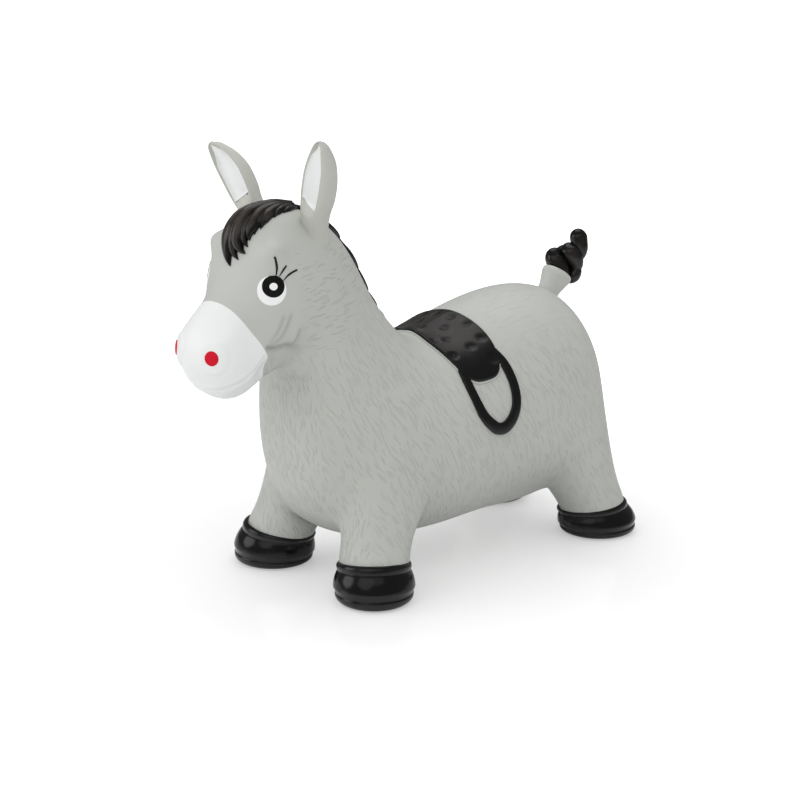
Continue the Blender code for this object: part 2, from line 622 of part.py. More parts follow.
def ear_rings(stations, side, outline_of):
    """Rings of an ear round its middle line. outline_of draws each from its half width and depths."""
    facing = Vector(mirrored(EAR_FACING, side))
    centres = [ear_place(*station[:3], side) for station in EAR_ROOT[:-1] + EAR_BLADE]
    rings = []
    for station in stations:
        centre = ear_place(*station[:3], side)
        near = min(range(len(centres)), key=lambda i: (centres[i] - centre).length)
        before, after = centres[max(near - 1, 0)], centres[min(near + 1, len(centres) - 1)]
        along = (after - before).normalized()
        front = (facing - along * facing.dot(along)).normalized()
        across = along.cross(front)
        half, depth, back = station[3:]
        cup = min(EAR_CUP, depth + back / 2)
        rings.append([centre + across * half * a + front * b for a, b in outline_of(depth, cup, back)])
    return rings


def blade_outline(depth, cup, back):
    """A hollow in front between two rims, round behind."""
    return (
        (1, 0), (0.90, depth), (0.70, depth), (0.40, depth - 0.8 * cup), (0, depth - cup),
        (-0.40, depth - 0.8 * cup), (-0.70, depth), (-0.90, depth), (-1, 0),
        (-0.80, -0.6 * back), (-0.40, -0.93 * back), (0, -back), (0.40, -0.93 * back), (0.80, -0.6 * back),
    )


def lining_outline(depth, cup, back):
    """A thin sheet that follows the hollow, over its floor."""
    share, floor = LINING_SHARE, depth - cup
    return (
        (share, floor + 0.9 * cup + LINING_UP), (0.45 * share, floor + 0.3 * cup + LINING_UP),
        (0, floor + LINING_UP), (-0.45 * share, floor + 0.3 * cup + LINING_UP),
        (-share, floor + 0.9 * cup + LINING_UP), (-share, floor - LINING_DOWN), (share, floor - LINING_DOWN),
    )


for side_name, side in (("left", 1), ("right", -1)):
    root = loft(f"{side_name}_ear_root", ear_rings(EAR_ROOT, side, blade_outline), GREY, 0.5)
    carve(root, "DIFFERENCE", SKIN_CLEAR)
    loft(f"{side_name}_ear", ear_rings(EAR_BLADE, side, blade_outline), GREY, 0.5)
    clear = guide(loft(f"{side_name}_ear_clear", ear_rings(EAR_BLADE, side, blade_outline), GREY, 0.5))
    grow = clear.modifiers.new("grow", "DISPLACE")
    grow.strength = GAP
    grow.mid_level = 0.0
    lined = EAR_BLADE[LINING_SKIP_COUNT:-1]
    lining = loft(f"{side_name}_ear_lining", ear_rings(lined, side, lining_outline), WHITE, 0.45)
    carve(lining, "DIFFERENCE", clear)


# Tail: a short dock that bends and a twisted tuft of hair

def tail_rings(table, sides, lobes, turn_share):
    rings = []
    for row, (x, z, radius) in enumerate(table):
        before, after = table[max(row - 1, 0)], table[min(row + 1, len(table) - 1)]
        along = Vector((after[0] - before[0], 0, after[1] - before[1])).normalized()
        across = along.cross(Vector((0, 1, 0)))
        ring = []
        for step in range(sides):
            turn = FULL_TURN * step / sides
            bulge = 1 + lobes * math.cos(3 * (turn - FULL_TURN * turn_share * row))
            spoke = across * math.cos(turn) + Vector((0, 1, 0)) * math.sin(turn)
            ring.append(at(x, 0, z) + spoke * radius * bulge)
        rings.append(ring)
    return rings


dock = loft("tail_dock", tail_rings(DOCK, TUFT_SIDES_COUNT, 0.0, 0.0), GREY, 0.5)
carve(dock, "DIFFERENCE", SKIN_CLEAR)
dock_end, dock_last = Vector(DOCK[-1][:2]), Vector(DOCK[-2][:2])
tuft_foot = dock_end + (dock_end - dock_last).normalized() * GAP
hair = ((*tuft_foot, TUFT_START), *TUFT)
loft("tail_tuft", tail_rings(hair, TUFT_SIDES_COUNT, TUFT_LOBES_SHARE, TUFT_TURN_SHARE), BLACK, 0.2)


# Air valve

def turned(name, profile, colour, roughness):
    """A body of revolution about the valve's axis; heights count down from the belly."""
    rings = []
    for step in range(DISC_SIDES_COUNT):
        turn = FULL_TURN * step / DISC_SIDES_COUNT
        spoke = Vector((math.cos(turn), math.sin(turn), 0))
        rings.append([at(VALVE_X, 0, VALVE_Z - drop) + spoke * radius for radius, drop in profile])
    count = len(profile)
    points, faces = [], []
    if profile[0][0] == 0:
        first, last = at(VALVE_X, 0, VALVE_Z - profile[0][1]), at(VALVE_X, 0, VALVE_Z - profile[-1][1])
        points = [first, last] + [point for ring in rings for point in ring[1:-1]]
        inner = count - 2
        for step in range(DISC_SIDES_COUNT):
            a, b = 2 + step * inner, 2 + (step + 1) % DISC_SIDES_COUNT * inner
            faces += [(0, a, b), (1, b + inner - 1, a + inner - 1)]
            faces += [(a + i, a + i + 1, b + i + 1, b + i) for i in range(inner - 1)]
    else:
        points = [point for ring in rings for point in ring]
        for step in range(DISC_SIDES_COUNT):
            a, b = step * count, (step + 1) % DISC_SIDES_COUNT * count
            faces += [(a + i, a + (i + 1) % count, b + (i + 1) % count, b + i) for i in range(count)]
    return body_object(name, mesh_of(name, points, faces), colour, roughness)


turned("valve_seat", SEAT_PROFILE, GREY, 0.5)
turned("valve_plug", PLUG_PROFILE, WHITE, 0.4)
hole_profile = ((0.0, -DEEP), (SEAT_HOLE, -DEEP), (SEAT_HOLE, DEEP), (0.0, DEEP))
valve_hole = guide(turned("valve_hole", hole_profile, GREY, 0.5))
carve(torso, "DIFFERENCE", valve_hole)


# Every moving piece keeps its origin on the axis of its joint

def stand_on(names, pivot):
    for name in names:
        thing = bpy.data.objects[name]
        thing.data.transform(Matrix.Translation(-pivot))
        thing.location = pivot


HEAD_NAMES = ["head_skin", "muzzle", "forelock", "poll_mane"]
for side_name, side in (("left", 1), ("right", -1)):
    pieces = ("eye_white", "iris", "eye_spark", "lashes", "nostril", "ear_root")
    HEAD_NAMES += [f"{side_name}_{piece}" for piece in pieces]
    stand_on([f"{side_name}_ear", f"{side_name}_ear_lining"], ear_place(*EAR_PIVOT, side))
    stand_on([f"front_{side_name}_hoof"], at(HOOF_FRONT[0], side * HOOF_FRONT[1], FLOOR_Z))
    stand_on([f"rear_{side_name}_hoof"], at(HOOF_REAR[0], side * HOOF_REAR[1], FLOOR_Z))
stand_on(HEAD_NAMES, neck_middle)
stand_on(["tail_tuft"], at(*TAIL_PIVOT))
stand_on(["valve_plug"], at(VALVE_X, 0, VALVE_Z))
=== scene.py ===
"""Looks of a bouncy ride on donkey: air filled soft vinyl, cast in one mould and painted by hand spray.

The animal faces +X, its left side is +Y and it stands on Z = 0. Lengths are in metres.
"""
import math

import bpy
import numpy as np
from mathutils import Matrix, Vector
from mathutils.bvhtree import BVHTree


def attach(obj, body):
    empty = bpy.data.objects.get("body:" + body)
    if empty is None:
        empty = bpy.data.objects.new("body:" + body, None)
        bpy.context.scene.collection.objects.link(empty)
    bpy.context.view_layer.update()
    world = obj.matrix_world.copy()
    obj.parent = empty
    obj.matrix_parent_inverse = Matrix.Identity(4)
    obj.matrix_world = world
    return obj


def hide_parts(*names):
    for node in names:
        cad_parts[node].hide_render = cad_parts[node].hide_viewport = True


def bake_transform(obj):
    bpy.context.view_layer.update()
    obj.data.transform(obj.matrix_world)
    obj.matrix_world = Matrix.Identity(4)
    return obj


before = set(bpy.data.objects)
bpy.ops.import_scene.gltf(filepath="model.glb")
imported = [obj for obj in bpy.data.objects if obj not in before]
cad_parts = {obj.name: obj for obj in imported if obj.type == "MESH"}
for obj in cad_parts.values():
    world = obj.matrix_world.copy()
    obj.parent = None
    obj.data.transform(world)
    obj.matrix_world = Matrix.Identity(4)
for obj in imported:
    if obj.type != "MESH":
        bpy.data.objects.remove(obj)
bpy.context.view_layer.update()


# The moulded skin
# One hollow skin of soft vinyl about 2.4 mm thick, cast in a turning mould, so it has no seams. It is
# worked out here as a whole, and the pieces that flex against each other are taken from it further down.

MIDDLE_X, FLOOR_Z = -0.05235, 0.013
CAGE_SHARE, LEG_SHARE, CAP_SHARE = 1.047, 1.10, 0.45
RING_SHARES = np.array([0, 0.089, 0.178, 0.269, 0.356, 0.428, 0.5, 0.572, 0.644, 0.731, 0.822, 0.911])
TOP_PINCH = np.array([0, 0.7, 1, 0.35, 0, 0, 0, 0, 0, 0.35, 1, 0.7])
LOW_PINCH = np.array([0, 0, 0, 0.35, 1, 0.7, 0, 0.7, 1, 0.35, 0, 0])
RING_SIDES = np.where(np.arange(12) < 6, 1.0, -1.0)
WALL = 0.0024
HANDS = (("left", 1), ("right", -1))
LINE_REACH = 0.03      # how far from a line the places near it are measured

# stations along the animal:
# back x, back z, belly x, belly z, half width, pinch of the back, fill of the belly
SECTIONS = np.array([
    (-0.182, 0.224, -0.187, 0.128, 0.052, 0.000, 0.003),
    (-0.167, 0.264, -0.171, 0.091, 0.079, 0.000, 0.007),
    (-0.141, 0.282, -0.140, 0.067, 0.096, 0.000, 0.009),
    (-0.101, 0.286, -0.098, 0.058, 0.104, 0.000, 0.008),
    (-0.055, 0.279, -0.046, 0.056, 0.106, 0.000, 0.006),
    (-0.002, 0.265, 0.008, 0.052, 0.105, 0.000, 0.006),
    (0.040, 0.254, 0.060, 0.050, 0.103, 0.000, 0.007),
    (0.070, 0.261, 0.106, 0.053, 0.100, -0.004, 0.007),
    (0.087, 0.280, 0.152, 0.062, 0.097, -0.012, 0.006),
    (0.100, 0.299, 0.191, 0.086, 0.089, -0.017, 0.003),
    (0.113, 0.319, 0.210, 0.123, 0.081, -0.018, 0.000),
    (0.123, 0.341, 0.217, 0.165, 0.073, -0.018, 0.000),
    (0.139, 0.366, 0.217, 0.207, 0.065, -0.014, -0.001),
    (0.163, 0.391, 0.216, 0.241, 0.061, -0.008, -0.001),
    (0.199, 0.410, 0.229, 0.254, 0.059, 0.001, -0.001),
    (0.237, 0.414, 0.242, 0.249, 0.059, 0.001, -0.001),
    (0.266, 0.402, 0.259, 0.240, 0.0535, 0.000, -0.002),
    (0.274, 0.372, 0.272, 0.232, 0.0465, -0.0025, -0.001),
    (0.280, 0.344, 0.288, 0.229, 0.0438, -0.003, 0.000),
    (0.296, 0.325, 0.308, 0.238, 0.0442, -0.002, 0.000),
    (0.315, 0.308, 0.320, 0.255, 0.034, 0.001, 0.000),
])
RUMP_OUT, NOSE_OUT = 0.008, 0.010
FRONT_STATION, REAR_STATION = 7, 1

# legs: x, y, z, half length, half width and outward tip of each ring
FRONT_LEG = (
    (0.148, 0.067, 0.069, 0.036, 0.036, 0.006),
    (0.159, 0.0755, 0.053, 0.0365, 0.037, 0.007),
    (0.161, 0.078, 0.022, 0.0335, 0.0335, 0.0),
)
REAR_LEG = (
    (-0.146, 0.0735, 0.068, 0.038, 0.035, 0.006),
    (-0.158, 0.079, 0.047, 0.0365, 0.0365, 0.005),
    (-0.160, 0.0805, 0.022, 0.0335, 0.0335, 0.0),
)
LEG_POINT_DROP = 0.003


def at(places):
    """Measured places, moved into the frame of the finished part."""
    return np.asarray(places, float) + (MIDDLE_X, 0, -FLOOR_Z)


def mirrored(places, side):
    return np.asarray(places, float) * (1, side, 1)


def unit(ways):
    return ways / np.maximum(np.linalg.norm(ways, axis=-1, keepdims=True), 1e-12)


def skin_cage():
    """Points and faces of a coarse cage. Each station is a ring: its middle, plus its rise times the
    cosine and its half width times the sine of the turn. Legs are rings of eight, ends are three by three."""
    turns = 2 * np.pi * RING_SHARES
    back, belly = SECTIONS[:, 0:2], SECTIONS[:, 2:4]
    middle, rise = (back + belly) / 2, (back - belly) / 2
    wide = (SECTIONS[:, 4, None] * np.sin(turns)
            + RING_SIDES * (SECTIONS[:, 5, None] * TOP_PINCH + SECTIONS[:, 6, None] * LOW_PINCH))
    rings = np.empty((len(SECTIONS), 12, 3))
    rings[..., 0] = middle[:, 0, None] + CAGE_SHARE * rise[:, 0, None] * np.cos(turns)
    rings[..., 1] = CAGE_SHARE * wide
    rings[..., 2] = middle[:, 1, None] + CAGE_SHARE * rise[:, 1, None] * np.cos(turns)
    points = list(rings.reshape(-1, 3))

    number = np.arange(len(SECTIONS) * 12).reshape(-1, 12)
    holes = {(s + i, k) for s in (FRONT_STATION, REAR_STATION) for i in (0, 1) for k in (3, 4, 7, 8)}
    faces = [(number[i, k], number[i + 1, k], number[i + 1, (k + 1) % 12], number[i, (k + 1) % 12])
             for i in range(len(SECTIONS) - 1) for k in range(12) if (i, k) not in holes]

    for ring, out, turned in ((number[0], -RUMP_OUT, False), (number[-1], NOSE_OUT, True)):
        centre = np.mean([points[i] for i in ring], axis=0)
        inner = []
        for k in (0, 3, 6, 9):
            inner.append(len(points))
            points.append(centre + (points[ring[k]] - centre) * CAP_SHARE + (out, 0, 0))
        grid = [[ring[0], ring[11], ring[10], ring[9]], [ring[1], inner[0], inner[3], ring[8]],
                [ring[2], inner[1], inner[2], ring[7]], [ring[3], ring[4], ring[5], ring[6]]]
        for i in range(3):
            for j in range(3):
                face = (grid[i][j], grid[i + 1][j], grid[i + 1][j + 1], grid[i][j + 1])
                faces.append(face[::-1] if turned else face)

    for first, table in ((FRONT_STATION, FRONT_LEG), (REAR_STATION, REAR_LEG)):
        for side, (high, mid, low) in ((1, (3, 4, 5)), (-1, (9, 8, 7))):
            last = [number[first + i, k] for i, k in
                    ((2, mid), (2, high), (1, high), (0, high), (0, mid), (0, low), (1, low), (2, low))]
            for x, y, z, half_length, half_width, tip in table:
                turn = 2 * np.pi * np.arange(8) / 8
                ring = np.stack([x + LEG_SHARE * half_length * np.cos(turn),
                                 side * (y + LEG_SHARE * half_width * np.sin(turn)),
                                 z + tip * np.sin(turn)], axis=1)
                here = [len(points) + i for i in range(8)]
                points += list(ring)
                for i in range(8):
                    face = (last[i], here[i], here[(i + 1) % 8], last[(i + 1) % 8])
                    faces.append(face[::side])
                last = here
            points.append(np.array((table[-1][0], side * table[-1][1], table[-1][2] - LEG_POINT_DROP)))
            for i in (0, 2, 4, 6):
                face = (len(points) - 1, last[(i + 1) % 8], last[i], last[i - 1])
                faces.append(face[::side])
    return at(points), [tuple(int(i) for i in face) for face in faces]


def new_mesh(name, points, faces):
    mesh = bpy.data.meshes.new(name)
    faces = faces if isinstance(faces, list) else faces.tolist()
    mesh.from_pydata(np.asarray(points, float).tolist(), [], faces)
    mesh.update()
    return mesh


def linked(name, data):
    """A new object at the origin."""
    thing = bpy.data.objects.new(name, data)
    bpy.context.scene.collection.objects.link(thing)
    return thing


def subdivided(points, faces, levels):
    """Points and quads of the smooth surface that a coarse cage stands for. The cage isn't kept."""
    thing = linked("cage", new_mesh("cage", points, faces))
    change = thing.modifiers.new("smooth", "SUBSURF")
    change.levels = change.render_levels = levels
    done = thing.evaluated_get(bpy.context.evaluated_depsgraph_get()).to_mesh()
    spots, corners = np.empty(len(done.vertices) * 3), np.empty(len(done.loops), int)
    done.vertices.foreach_get("co", spots)
    done.loops.foreach_get("vertex_index", corners)
    bpy.data.objects.remove(thing)
    return spots.reshape(-1, 3), corners.reshape(-1, 4)


def curve(knots, count):
    """Places on the smooth curve that runs through all knots: between two knots it is the cubic whose
    slope at each is half of the step between that knot's neighbours. count is how many, evenly spread, or
    an array that says where, counted in knots."""
    knots = np.asarray(knots, float)
    ends = np.concatenate([2 * knots[:1] - knots[1:2], knots, 2 * knots[-1:] - knots[-2:-1]])
    place = np.linspace(0, len(knots) - 1, count) if np.isscalar(count) else np.asarray(count)
    i = np.clip(place.astype(int), 0, len(knots) - 2)
    t = (place - i).reshape(-1, *[1] * (knots.ndim - 1))
    a, b, c, d = ends[i], ends[i + 1], ends[i + 2], ends[i + 3]
    return b + t * (c - a) / 2 + t**2 * (2 * a - 5 * b + 4 * c - d) / 2 + t**3 * (3 * b - a - 3 * c + d) / 2


def step(low, high, values):
    """0 below low, 1 above high, and three t squared less two t cubed between them."""
    t = np.clip((values - low) / (high - low), 0, 1)
    return t * t * (3 - 2 * t)


def bell(values, width):
    """1 at zero, and falling off to both sides as the square of the values over width grows."""
    return np.exp(-(values / width) ** 2)


def from_line(places, knots):
    """Each place's distance to the smooth line through the knots, and where along it the nearest spot
    is, from 0 to 1. Places far from the line only get a large distance."""
    line = curve(knots, 6 * len(knots))
    gap, along = np.full(len(places), 1.0), np.zeros(len(places))
    near = np.all((places > line.min(0) - LINE_REACH) & (places < line.max(0) + LINE_REACH), axis=1)
    way = line[1:] - line[:-1]
    away = places[near, None] - line[:-1]
    share = np.clip((away * way).sum(-1) / (way * way).sum(-1), 0, 1)
    gaps = np.linalg.norm(away - share[..., None] * way, axis=-1)
    best = gaps.argmin(1)
    rows = np.arange(len(best))
    gap[near] = gaps[rows, best]
    along[near] = (best + share[rows, best]) / len(way)
    return gap, along


def point_normals(points, quads):
    """Normals of points: the cross products of the diagonals of the faces round each one, summed."""
    across = np.cross(points[quads[:, 2]] - points[quads[:, 0]], points[quads[:, 3]] - points[quads[:, 1]])
    ways = np.zeros_like(points)
    for corner in range(4):
        np.add.at(ways, quads[:, corner], across)
    return unit(ways)


def slide_to(points, quads, height, turned):
    """Slides the nearest points along their edges onto the line where height is zero, so that a zone's
    border runs along edges. turned marks the quads whose other diagonal lies on that line."""
    edges = np.vstack([quads[:, [i, (i + 1) % 4]] for i in range(4)])
    edges = edges[edges[:, 0] < edges[:, 1]]
    low, high = height[edges[:, 0]], height[edges[:, 1]]
    edges = edges[low * high < 0]
    low, high = height[edges[:, 0]], height[edges[:, 1]]
    share = low / (low - high)
    spots = points[edges[:, 0]] + share[:, None] * (points[edges[:, 1]] - points[edges[:, 0]])
    nearest = np.where(share < 0.5, edges[:, 0], edges[:, 1])
    order = np.argsort(-np.minimum(share, 1 - share))
    points[nearest[order]] = spots[order]
    height[nearest] = 0
    turned |= (height[quads[:, 1]] == 0) & (height[quads[:, 3]] == 0)


skin_points, skin_quads = subdivided(*skin_cage(), levels=4)
turned = np.zeros(len(skin_quads), bool)

# the planes and lines along which the zones of the skin meet
NECK_LOW, NECK_HIGH = 0.368, 0.470      # x + z on the two planes across the neck
MUZZLE_TOP, MUZZLE_LOW = (0.294, 0.330), (0.266, 0.281)
MUZZLE_BOW = 0.0040                     # how far the paint's border bows forward between them
JAW_TUCK, JAW_DROPS = 0.0074, (0.012, 0.030)    # how far it steps forward under the mouth, and where
HIPS = {
    "front": ((0.160, 0.079, 0.044), (0.35, 0.42, -0.84), 0.044),
    "rear": ((-0.157, 0.078, 0.046), (-0.35, 0.42, -0.84), 0.043),
}
HIP_ROUND = 0.062


def leg_axis(end, side):
    """Where a leg's own skin starts, and the direction that the leg leaves the body in."""
    ankle, way, length = HIPS[end]
    way = unit(mirrored(way, side))
    return at(mirrored(ankle, side)) - way * length, way


def zone_heights(points):
    """Signed distances that are above zero inside each zone: two for the neck, one for the muzzle and
    one for each leg, which also ends where the leg's axis is far."""
    measured = points - at((0, 0, 0))
    heights = {
        "low": (measured[:, 0] + measured[:, 2] - NECK_LOW) / np.sqrt(2),
        "high": (measured[:, 0] + measured[:, 2] - NECK_HIGH) / np.sqrt(2),
    }
    slope = (MUZZLE_TOP[0] - MUZZLE_LOW[0]) / (MUZZLE_TOP[1] - MUZZLE_LOW[1])
    middle = (MUZZLE_TOP[1] + MUZZLE_LOW[1]) / 2
    half = (MUZZLE_TOP[1] - MUZZLE_LOW[1]) / 2
    drop = MUZZLE_LOW[1] - measured[:, 2]
    bow = MUZZLE_BOW * bell(measured[:, 2] - middle, half) + JAW_TUCK * step(*JAW_DROPS, drop)
    heights["muzzle"] = measured[:, 0] - MUZZLE_LOW[0] + slope * drop - bow
    for end in HIPS:
        for side_name, side in HANDS:
            hip, way = leg_axis(end, side)
            away = points - hip
            along = away @ way
            apart = np.linalg.norm(away - along[:, None] * way, axis=1)
            inside = (apart < HIP_ROUND) & (side * points[:, 1] > 0)
            heights[f"{end}_{side_name}"] = np.where(inside, along, -np.abs(along) - WALL)
    return heights


for zone in ("low", "high", "muzzle", "front_left", "front_right", "rear_left", "rear_right"):
    slide_to(skin_points, skin_quads, zone_heights(skin_points)[zone], turned)
zones = zone_heights(skin_points)

# relief of the mould, in measured places on the left side: lines are grooves, spots are mounds
MOUTH = ((0.263, 0.046, 0.281), (0.267, 0.044, 0.276), (0.2705, 0.0425, 0.270), (0.277, 0.0405, 0.2625),
         (0.288, 0.0375, 0.2565), (0.301, 0.033, 0.2505), (0.311, 0.019, 0.2455), (0.3155, 0.0, 0.244))
JAW = ((0.266, 0.047, 0.285), (0.2579, 0.0471, 0.2825), (0.2507, 0.0473, 0.2833), (0.2446, 0.0475, 0.2843),
       (0.2359, 0.0458, 0.2815), (0.2252, 0.0433, 0.2762), (0.2166, 0.0434, 0.2707))
CHEEKS = (
    ((0.2460, 0.0560, 0.3157), (0.2486, 0.0544, 0.3070), (0.2519, 0.0522, 0.2982), (0.2565, 0.0502, 0.2918),
     (0.2636, 0.0482, 0.2866)),
    ((0.2538, 0.0549, 0.3148), (0.2564, 0.0535, 0.3071), (0.2599, 0.0515, 0.2985), (0.2643, 0.0493, 0.2919)),
    ((0.2329, 0.0532, 0.2993), (0.2349, 0.0493, 0.2890), (0.2391, 0.0467, 0.2832)),
)
NOSTRIL = (0.3195, 0.0272, 0.2808)
# the height or depth of each lip, groove and swelling, and its reach
MOUTH_LIPS, MOUTH_GROOVE, JAW_GROOVE = (0.0014, 0.0080), (0.0028, 0.0021), (0.0034, 0.0025)
CHEEK_GROOVE, CHEEK_LIPS, NOSTRIL_SWELL = (0.0011, 0.0017), (0.0006, 0.0050), (0.0014, 0.0140, 0.0185)
# the shares of each line over which its groove deepens or fades
MOUTH_START_SHARES, JAW_END_SHARES = (0.06, 0.34), (0.40, 0.95)
CHEEK_START_SHARES, CHEEK_END_SHARES, CHEEK_END_LOSS_SHARE = (0, 0.35), (0.7, 1.0), 0.4
# the place, height and radius of each mound or dip
MOUNDS = (
    ((0.2555, 0.0415, 0.3750), 0.0082, 0.0115), ((0.2020, 0.0330, 0.3830), 0.0065, 0.020),
    ((-0.1560, 0.0, 0.2600), 0.0030, 0.016), ((0.0120, 0.0300, 0.2600), -0.0036, 0.032),
    ((-0.0700, 0.0450, 0.0600), 0.0052, 0.042), ((0.2585, 0.0380, 0.2610), -0.0066, 0.0145),
)


def to_left(points):
    """Measured places of points, with those of the right side mirrored to the left."""
    return np.stack([points[:, 0] - MIDDLE_X, np.abs(points[:, 1]), points[:, 2] + FLOOR_Z], axis=1)


def relief(points):
    """Height of the mould's relief over the smooth skin: bells across each line, round each mound, and a
    flat swelling round the nostril."""
    place = to_left(points)
    gap, along = from_line(place, MOUTH)
    lips, groove = MOUTH_LIPS[0] * bell(gap, MOUTH_LIPS[1]), MOUTH_GROOVE[0] * bell(gap, MOUTH_GROOVE[1])
    rise = (lips - groove) * step(*MOUTH_START_SHARES, along)
    gap, along = from_line(place, JAW)
    rise -= JAW_GROOVE[0] * bell(gap, JAW_GROOVE[1]) * (1 - step(*JAW_END_SHARES, along))
    for line in CHEEKS:
        gap, along = from_line(place, line)
        start = step(*CHEEK_START_SHARES, along)
        end = 1 - CHEEK_END_LOSS_SHARE * step(*CHEEK_END_SHARES, along)
        rise -= CHEEK_GROOVE[0] * bell(gap, CHEEK_GROOVE[1]) * start * end
        rise += CHEEK_LIPS[0] * bell(gap, CHEEK_LIPS[1]) * start
    for spot, height, radius in MOUNDS:
        rise += height * bell(np.linalg.norm(place - spot, axis=1), radius)
    swell, inner, outer = NOSTRIL_SWELL
    return rise + swell * (1 - step(inner, outer, np.linalg.norm(place - NOSTRIL, axis=1)))


skin_normals = point_normals(skin_points, skin_quads)
rest_points = skin_points.copy()
skin_points += skin_normals * relief(rest_points)[:, None]
skin_normals = point_normals(skin_points, skin_quads)
swap = np.where(turned[:, None], np.roll(skin_quads, -1, axis=1), skin_quads)
skin_faces = np.vstack([swap[:, [0, 1, 2]], swap[:, [0, 2, 3]]])


class Wire:
    """A socket of a material's nodes. Plain arithmetic on it adds Math nodes."""

    def __init__(self, paint, socket):
        self.paint, self.socket = paint, socket

    def math(self, operation, first, second):
        return self.paint.node("ShaderNodeMath", {"operation": operation}, first, second)

    def __add__(self, other):
        return self.math("ADD", self, other)

    def __sub__(self, other):
        return self.math("SUBTRACT", self, other)

    def __rsub__(self, other):
        return self.math("SUBTRACT", other, self)

    def __mul__(self, other):
        return self.math("MULTIPLY", self, other)

    __radd__, __rmul__ = __add__, __mul__

    def eased(self, low, high):
        """0 below low and 1 above high, with a soft start and end."""
        return self.paint.node("ShaderNodeMapRange", {"interpolation_type": "SMOOTHSTEP"}, self, low, high)


class Nodes:
    """A tree of nodes, with one method that adds any node."""

    def __init__(self, tree):
        self.tree = tree

    def put(self, socket, value):
        if isinstance(value, Wire):
            self.tree.links.new(value.socket, socket)
        elif isinstance(value, tuple) and len(value) == 3 and socket.type == "RGBA":
            socket.default_value = (*value, 1)
        else:
            socket.default_value = value

    def node(self, kind, settings, *values, out=0, **named):
        made = self.tree.nodes.new(kind)
        for setting, value in settings.items():
            setattr(made, setting, value)
        shown = [socket for socket in made.inputs if socket.enabled]
        for socket, value in zip(shown, values):
            self.put(socket, value)
        for name, value in named.items():
            self.put(next(s for s in shown if s.name == name.replace("_", " ")), value)
        outs = [socket for socket in made.outputs if socket.enabled]
        return Wire(self, outs[out] if isinstance(out, int) else made.outputs[out])


class Paint(Nodes):
    """A material with one Principled shader."""

    def __init__(self, name, colour, roughness, **constants):
        self.material = bpy.data.materials.new(name)
        self.material.use_nodes = True
        super().__init__(self.material.node_tree)
        self.shader = self.tree.nodes["Principled BSDF"]
        self.shaded("Base Color", colour)
        self.shaded("Roughness", roughness)
        for socket, value in constants.items():
            self.shaded(socket.replace("_", " "), value)

    def shaded(self, socket, value):
        self.put(self.shader.inputs[socket], value)

    def attribute(self, name):
        return self.node("ShaderNodeAttribute", {"attribute_name": name}, out=1)

    def parts(self, name):
        """The three numbers of an attribute."""
        kept = self.attribute(name)
        return [self.node("ShaderNodeSeparateXYZ", {}, kept, out=i) for i in range(3)]

    def vector(self, operation, *values):
        return self.node("ShaderNodeVectorMath", {"operation": operation}, *values)

    def noise(self, vector, scale, detail=2.0, **other):
        return self.node("ShaderNodeTexNoise", {}, Vector=vector, Scale=scale, Detail=detail, **other)

    def coloured(self, share, first, second):
        """The surface's own colour: first where share is 0 or less, second where it is 1 or more."""
        share = self.node("ShaderNodeClamp", {}, share)
        self.shaded("Base Color", self.node("ShaderNodeMix", {"data_type": "RGBA"}, share, first, second))

    def bumped(self, height, distance):
        self.shaded("Normal", self.node("ShaderNodeBump", {}, Strength=1.0, Distance=distance, Height=height))


GREY = (0.470, 0.482, 0.452)
STROKE_DEPTH, STROKE_STRAY = 0.00034, 0.011
# the strokes of the flanks, the chest, the cheeks and the croup: the way they run, the way across them,
# their length and the gap between them
STROKES = (
    ((-0.42, 0.0, -0.91), (0.91, 0.0, -0.42), 0.0140, 0.0019),
    ((0.0, 0.10, -0.99), (0.0, 0.99, 0.10), 0.0115, 0.0018),
    ((-0.99, 0.0, 0.12), (0.12, 0.0, 0.99), 0.0150, 0.0025),
    ((-1.0, 0.0, 0.0), (0.0, 1.0, 0.0), 0.0160, 0.0034),
)
# where the strokes' masks begin and are full: the head by x + z and by z, the face by x, with a lean, and
# by z, the crown by z, and the back and the croup by x
HEAD_SUM, HEAD_Z, CROWN_Z = (0.440, 0.480), (0.258, 0.282), (0.366, 0.384)
BACK_X, CROUP_X = (0.03, 0.09), (-0.06, 0.02)
FACE_X, FACE_LEAN, FACE_LEAN_Z, FACE_Z = (0.222, 0.240), 0.18, 0.33, (0.262, 0.274)
JAW_PAINTED_SHADE, CHEEK_PAINTED_SHADE = 0.0042, 0.0024      # how far the painted shade reaches from the creases


def darker(colour, share):
    return tuple(share * part for part in colour)


def strokes(paint, place, way, side, length, gap):
    """Hair strokes pressed into the mould: the high spots of a noise that is drawn out along way."""
    along, across = paint.vector("DOT_PRODUCT", place, way), paint.vector("DOT_PRODUCT", place, side)
    cells = paint.node("ShaderNodeCombineXYZ", {}, along * (1 / length), across * (1 / gap), 0.0)
    streak = paint.node("ShaderNodeTexNoise", {"noise_dimensions": "2D"}, Vector=cells, Scale=1.0, Detail=0.0)
    return streak.eased(0.60, 0.73)


